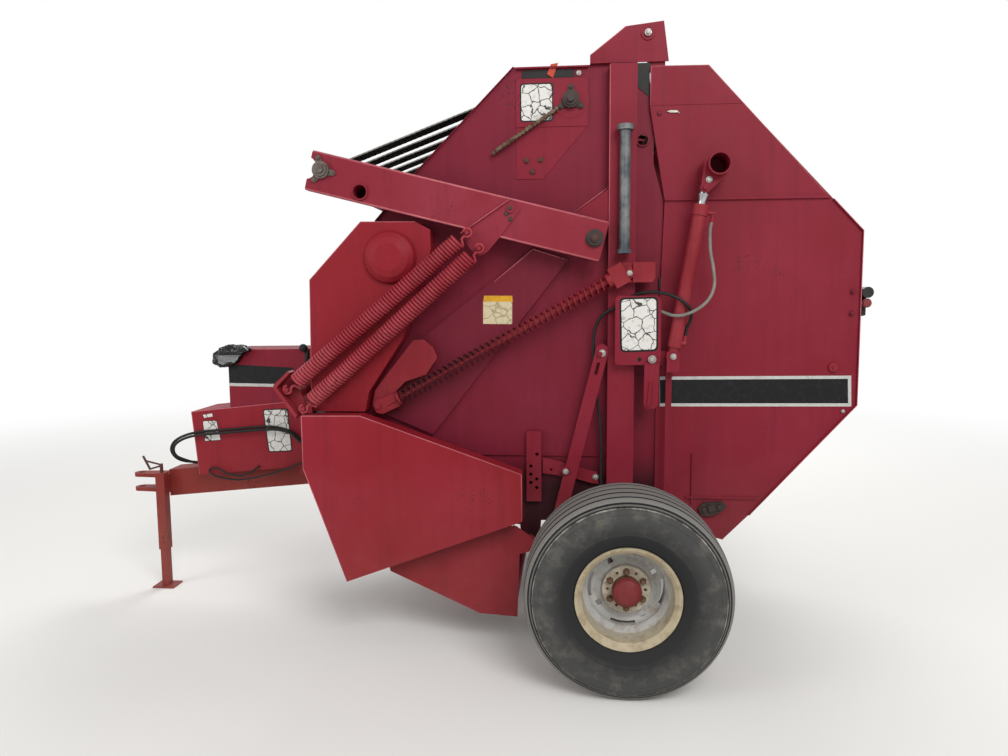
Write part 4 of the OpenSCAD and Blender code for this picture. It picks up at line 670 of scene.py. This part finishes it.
# Side band of the tailgate and band on the box shield: blank vinyl film, black with silver borders, stuck on the left
# side. Every film lies about 1 mm proud of its sheet.
def film(name, colour, crazed, crack_mm, cracks, roughness=0.4):
    # Cast vinyl film, dulled by the sun, cracked into plates crack_mm wide whose open joints show dark.
    material, tree, shader, place = new_material(name, roughness, specular=0.25)
    bend = add(tree, "TexNoise", {"Vector": place, "Scale": 40.0, "Detail": 3.0})
    wander = add(tree, "VectorMath", {0: bend.outputs["Color"], 1: (0.02, 0.02, 0.02), 2: place},
                 operation="MULTIPLY_ADD")
    cells = add(tree, "TexVoronoi", {"Vector": wander, "Scale": 1000 / crack_mm}, feature="DISTANCE_TO_EDGE")
    line = add(tree, "MapRange", {"Value": cells, "From Min": 0.018, "From Max": 0.045, "To Min": cracks,
                                  "To Max": 0.0})
    cloud = add(tree, "TexNoise", {"Vector": place, "Scale": 60.0, "Detail": 6.0})
    worn = add(tree, "MapRange", {"Value": cloud, "From Min": 0.55, "From Max": 0.75, "To Max": 0.5 * cracks})
    amount = add(tree, "Math", {0: line, 1: worn}, operation="MAXIMUM")
    mix = add(tree, "Mix", {"Factor": amount, "A": linear(colour), "B": linear(crazed)}, data_type="RGBA")
    bump = add(tree, "Bump", {"Height": amount, "Strength": 0.3, "Distance": -0.0003})
    feed(shader, {"Base Color": mix, "Normal": bump})
    return material


def plate(shape, corners, surface, proud, index=0, rounded=0):
    # A flat piece on the left side: an outline in X and Z, drawn at the surface and pulled outwards, in millimetres.
    outline = [shape.verts.new((x / 1000, -surface / 1000, z / 1000)) for x, z in corners]
    face = shape.faces.new(outline)
    if rounded:
        corner = bmesh.ops.bevel(shape, geom=outline, offset=rounded / 1000, segments=4, profile=0.5,
                                 affect="VERTICES", material=-1)
        face = corner["verts"][0].link_faces[0]
        outline = list(face.verts)
    solid = bmesh.ops.extrude_face_region(shape, geom=[face])
    raised = [v for v in solid["geom"] if isinstance(v, bmesh.types.BMVert)]
    bmesh.ops.translate(shape, vec=(0, -proud / 1000, 0), verts=raised)
    for vert in outline + raised:
        for face in vert.link_faces:
            face.material_index = index


silver_film = film("silver_vinyl_film", "b4b4b0", "8a8782", 45, 0.3)
black_film = film("black_vinyl_film", "0a0a0c", "242022", 60, 0.4)
white_film = film("crazed_white_film", "cfcdc8", "1c1416", 52, 0.95)
cream_film = film("cream_vinyl_film", "cabd9a", "7c6c52", 60, 0.6)
yellow_film = film("yellow_vinyl_film", "cf9a28", "8c6a20", 40, 0.4)
tag_film = film("orange_red_film", "b3402c", "7c2c1e", 30, 0.3)
# the sheets' faces, as distances from the machine's middle
gate_face, top_box_face, low_box_face, control_face, side_face, brace_face = 611.8, 144.8, 149.8, 704.8, 605.8, 619.8
band = bmesh.new()
plate(band, [(980, 1231), (1804, 1238), (1810, 1102), (982, 1097)], gate_face, 0.8, 0)
plate(band, [(981, 1217), (1790, 1224), (1796, 1116), (983, 1111)], gate_face, 1.1, 1)
finish_piece("tailgate_side_band", band, [silver_film, black_film], "tailgate", smooth=False)
band = bmesh.new()
plate(band, [(-1232, 1241), (-872, 1224), (-970, 1137), (-1232, 1141)], top_box_face, 0.8, 1)
plate(band, [(-1232, 1141), (-970, 1137), (-970, 1121), (-1232, 1125)], top_box_face, 0.8, 0)
finish_piece("box_shield_band", band, [silver_film, black_film], "frame", smooth=False)

# Blank labels: crazed white film in dark frames on the box shield, the control plate and the bearing plate, cream film
# under a yellow head on the brace, and an orange tag by the bearing plate. All are stuck on the left side.
labels = bmesh.new()
for corners, surface, border, corner in (
        ([(-1389, 937), (-1309, 940), (-1290, 831), (-1382, 824)], low_box_face, 3, 3),
        ([(-1388, 971), (-1331, 979), (-1329, 958), (-1381, 950)], low_box_face, 2, 0),
        ([(-1052, 1001), (-912, 1008), (-897, 775), (-1029, 768)], low_box_face, 6, 12),
        ([(798, 1346), (960, 1351), (957, 1586), (792, 1582)], control_face, 8, 20),
        ([(359, 2514), (505, 2514), (505, 2350), (359, 2350)], side_face, 6, 14)):
    cx, cz = sum(x for x, z in corners) / 4, sum(z for x, z in corners) / 4
    inner = [(x - math.copysign(border, x - cx), z - math.copysign(border, z - cz)) for x, z in corners]
    plate(labels, corners, surface, 0.7, 1, corner)
    plate(labels, inner, surface, 1.0, 0, max(0, corner - border / 2))
plate(labels, [(190, 1469), (321, 1467), (322, 1567), (191, 1568)], brace_face, 0.7, 2)
plate(labels, [(191, 1568), (324, 1567), (322, 1594), (195, 1595)], brace_face, 0.8, 3)
plate(labels, [(478, 2550), (503, 2533), (526, 2596), (493, 2591)], side_face, 0.8, 4)
finish_piece("blank_labels", labels, [white_film, black_film, cream_film, yellow_film, tag_film],
             "frame", smooth=False)

# Fittings of the tailgate: painted steel bumper knobs, and on the left side the bright release handle and a black strip
# that is painted shade for a slot. The sheets' tails run on behind the tyres, and a greasy cast latch hook sits on the
# left one.
knobs = bmesh.new()
for side in (-1, 1):
    for y, sides, r1, r2, depth in ((0.618, 28, 0.022, 0.019, 0.012), (0.6262, 16, 0.009, 0.007, 0.005)):
        turned(knobs, 1.725, side * y, 1.275, side, sides, r1, r2, depth)
finish_piece("tailgate_bumper_knobs", knobs, [worn_red], "tailgate", smooth=False)
trim = bmesh.new()
plate(trim, [(991, 2376), (1009, 2381), (1036, 2379), (1048, 2364), (1039, 2371), (1009, 2370)], 615.9, 6)
# a black strip as painted shade for the slot
plate(trim, [(970, 1671), (978, 1671), (978, 1619), (970, 1619)], 611.9, 0.5, 1)
finish_piece("tailgate_handle_and_slot_shade", trim, [zinc, black_film], "tailgate", smooth=False)
tails = bmesh.new()
plate(tails, [(1104, 649), (1236, 621), (1270, 489), (1226, 500), (1128, 562)], 608.2, 3.4)
bmesh.ops.mirror(tails, geom=tails.verts[:] + tails.edges[:] + tails.faces[:], axis="Y")
finish_piece("tailgate_tail_plates", tails, [red], "tailgate", smooth=False)
latch = bmesh.new()
plate(latch, [(1158, 636), (1182, 662), (1262, 668), (1284, 650), (1262, 622), (1216, 600), (1172, 604)], 612.2, 16)
plate(latch, [(1196, 652), (1256, 660), (1270, 648), (1240, 630), (1206, 622)], 628.2, 10)
hex_head(latch, 1184, 630, 628, 12)
hex_head(latch, 1248, 645, 638, 11)
finish_piece("tailgate_latch_hook", latch, [greasy], "tailgate", smooth=False)

# Fittings of the frame's left side: two black sheets under the hood that are painted shade, one for the dark inside
# seen through the notch by the post and one for the dark gap above the bearing plate, the rubber catch on the box
# shield, and a black disc that is painted shade for the hole punched in the control plate.
# black rubber for the catch; the same black serves the sheets of painted shade
black_rubber_and_shade = hose_rubber("moulded_black_rubber_and_painted_shade", "0b0b0c", "242220")
# black sheets as painted shade: the dark inside behind the notch by the post, and the dark gap above the bearing plate
shade_sheets = bmesh.new()
plate(shade_sheets, [(863, 2585), (919, 2585), (919, 2443), (863, 2490)], 600.2, 3)
plate(shade_sheets, [(368, 2569), (596, 2569), (596, 2535), (368, 2535)], 600.2, 2)
finish_piece("painted_shade_sheets_under_hood", shade_sheets, [black_rubber_and_shade], "frame", smooth=False)
catch = bmesh.new()
plate(catch, [(-812, 1321), (-790, 1321), (-790, 1248), (-803, 1240), (-812, 1248)], 145, 5, 0, 4)
bmesh.ops.create_uvsphere(catch, u_segments=28, v_segments=16, radius=0.021,
                          matrix=Matrix.Translation((-0.818, -0.149, 1.329)) @ Matrix.Diagonal((1.1, 0.8, 1.0, 1.0)))
finish_piece("box_shield_catch", catch, [black_rubber_and_shade], "frame")
# a black disc as painted shade for the inside of the hole in the control plate
hole = bmesh.new()
bmesh.ops.create_circle(hole, cap_ends=True, segments=20, radius=0.009,
                        matrix=Matrix.Translation((0.881, -0.7055, 1.315)) @ Matrix.Rotation(math.pi / 2, 4, "X"))
finish_piece("control_plate_hole_shade", hole, [black_film], "frame", smooth=False)

# Cover of the coupling: a crumpled black polythene bag tied over the fitting on the box shield, with a flap of grey
# reflective tape. A soft form: its outline is filled, smoothed and folded, and it rests against the shield.
cover_outline = [(-1240, 1347), (-1194, 1347), (-1142, 1350), (-1108, 1335), (-1090, 1315), (-1137, 1295),
                 (-1167, 1251), (-1228, 1229), (-1263, 1229), (-1297, 1251), (-1305, 1271), (-1294, 1301),
                 (-1265, 1322)]
shape = bmesh.new()
plate(shape, cover_outline, 150, 50)
bmesh.ops.recalc_face_normals(shape, faces=shape.faces)
block = new_object("cover_block", shape)
remesh = block.modifiers.new("even_faces", "REMESH")
remesh.mode = "VOXEL"
remesh.voxel_size = 0.0035
shape = bmesh.new()
add_worked(shape, block)
for _ in range(14):
    bmesh.ops.smooth_vert(shape, verts=shape.verts, factor=0.5, use_axis_x=True, use_axis_y=True, use_axis_z=True)
shape.normal_update()
low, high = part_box("soft_cover")
slack = 0.009
for vert in shape.verts:
    # sharp folds 25 to 60 mm apart over slack swells, kept inside the CAD node's box
    crease = noise.ridged_multi_fractal(vert.co * 24, 0.9, 2.1, 3, 0.9, 2.0) - 1.2
    swell = noise.noise(vert.co * 14)
    vert.co += vert.normal * slack * (crease + swell)
    vert.co = Vector(min(max(c, a + 0.0005), b - 0.0005) for c, a, b in zip(vert.co, low, high))
for face in shape.faces:
    middle = face.calc_center_median()
    on_flap = 1.256 + 0.02 * noise.noise(middle * 30) < middle.z < 1.294 and -1.262 < middle.x < -1.140
    face.material_index = 1 if on_flap and face.normal.y < -0.3 else 0
# Blown polythene film: near black and glossy along the folds, with a film of dust in the hollows.
polythene, tree, shader, place = new_material("crumpled_black_polythene", 0.24, specular=0.4)
cloud = add(tree, "TexNoise", {"Vector": place, "Scale": 45.0, "Detail": 6.0})
mix = add(tree, "Mix", {"Factor": cloud, "A": linear("040405"), "B": linear("0f0e0f")}, data_type="RGBA")
wrinkle = add(tree, "TexNoise", {"Vector": place, "Scale": 60.0, "Detail": 2.0, "Distortion": 1.5})
bump = add(tree, "Bump", {"Height": wrinkle, "Strength": 0.35, "Distance": 0.0015})
feed(shader, {"Base Color": mix, "Normal": bump})
tape = film("grey_reflective_tape", "77797b", "2c2d2e", 10, 0.6, 0.35)
bag = finish_piece("crumpled_cover", shape, [polythene, tape], "frame")
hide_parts("soft_cover")

# Studio: a pale floor that keeps the machine's shadow, three large soft lamps and a white surround, which metal and
# glass show too.
ground = bmesh.new()
bmesh.ops.create_grid(ground, x_segments=1, y_segments=1, size=60)
floor = new_object("floor", ground)
pale, tree, shader, place = new_material("pale_floor", 0.9)
feed(shader, {"Base Color": linear("e6e5e2")})
# seen by the camera, the floor fades into the white surround between 3 and 9 metres from the machine's origin
reach = add(tree, "VectorMath", {0: place}, operation="LENGTH")
away = add(tree, "MapRange", {"Value": reach, "From Min": 3.0, "From Max": 9.0}, interpolation_type="SMOOTHSTEP")
looked_at = add(tree, "LightPath").outputs["Is Camera Ray"]
amount = add(tree, "Math", {0: away, 1: looked_at}, operation="MULTIPLY")
glow = add(tree, "Emission", {"Color": (1, 1, 1, 1), "Strength": 1.0})
fade = add(tree, "MixShader", {0: amount, 1: shader, 2: glow})
feed(tree.nodes["Material Output"], {"Surface": fade})
floor.data.materials.append(pale)
world = bpy.data.worlds.new("studio")
bpy.context.scene.world = world
world.use_nodes = True
tree = world.node_tree
tree.nodes.clear()
path = add(tree, "LightPath")
seen = add(tree, "Math", {0: path.outputs["Is Camera Ray"], 1: path.outputs["Is Glossy Ray"]}, operation="MAXIMUM")
seen = add(tree, "Math", {0: seen, 1: path.outputs["Is Transmission Ray"]}, operation="MAXIMUM")
glow = add(tree, "Background", {"Color": (1, 1, 1, 1), "Strength": 0.5})
white = add(tree, "Background", {"Color": (1, 1, 1, 1), "Strength": 1.0})
mix = add(tree, "MixShader", {0: seen, 1: glow, 2: white})
add(tree, "OutputWorld", {"Surface": mix})
for name, place, power, size in (("key", (3.2, -6.5, 6.0), 430, 4.0), ("fill", (-6.0, -5.0, 3.5), 160, 4.0),
                                 ("back", (1.0, 6.5, 6.0), 420, 5.0)):
    lamp = bpy.data.objects.new(name, bpy.data.lights.new(name, "AREA"))
    lamp.data.energy = power
    lamp.data.size = size
    lamp.location = place
    lamp.rotation_euler = (Vector((0, 0, 1.2)) - Vector(place)).to_track_quat("-Z", "Y").to_euler()
    bpy.context.collection.objects.link(lamp)
bpy.context.scene.view_settings.view_transform = "Standard"
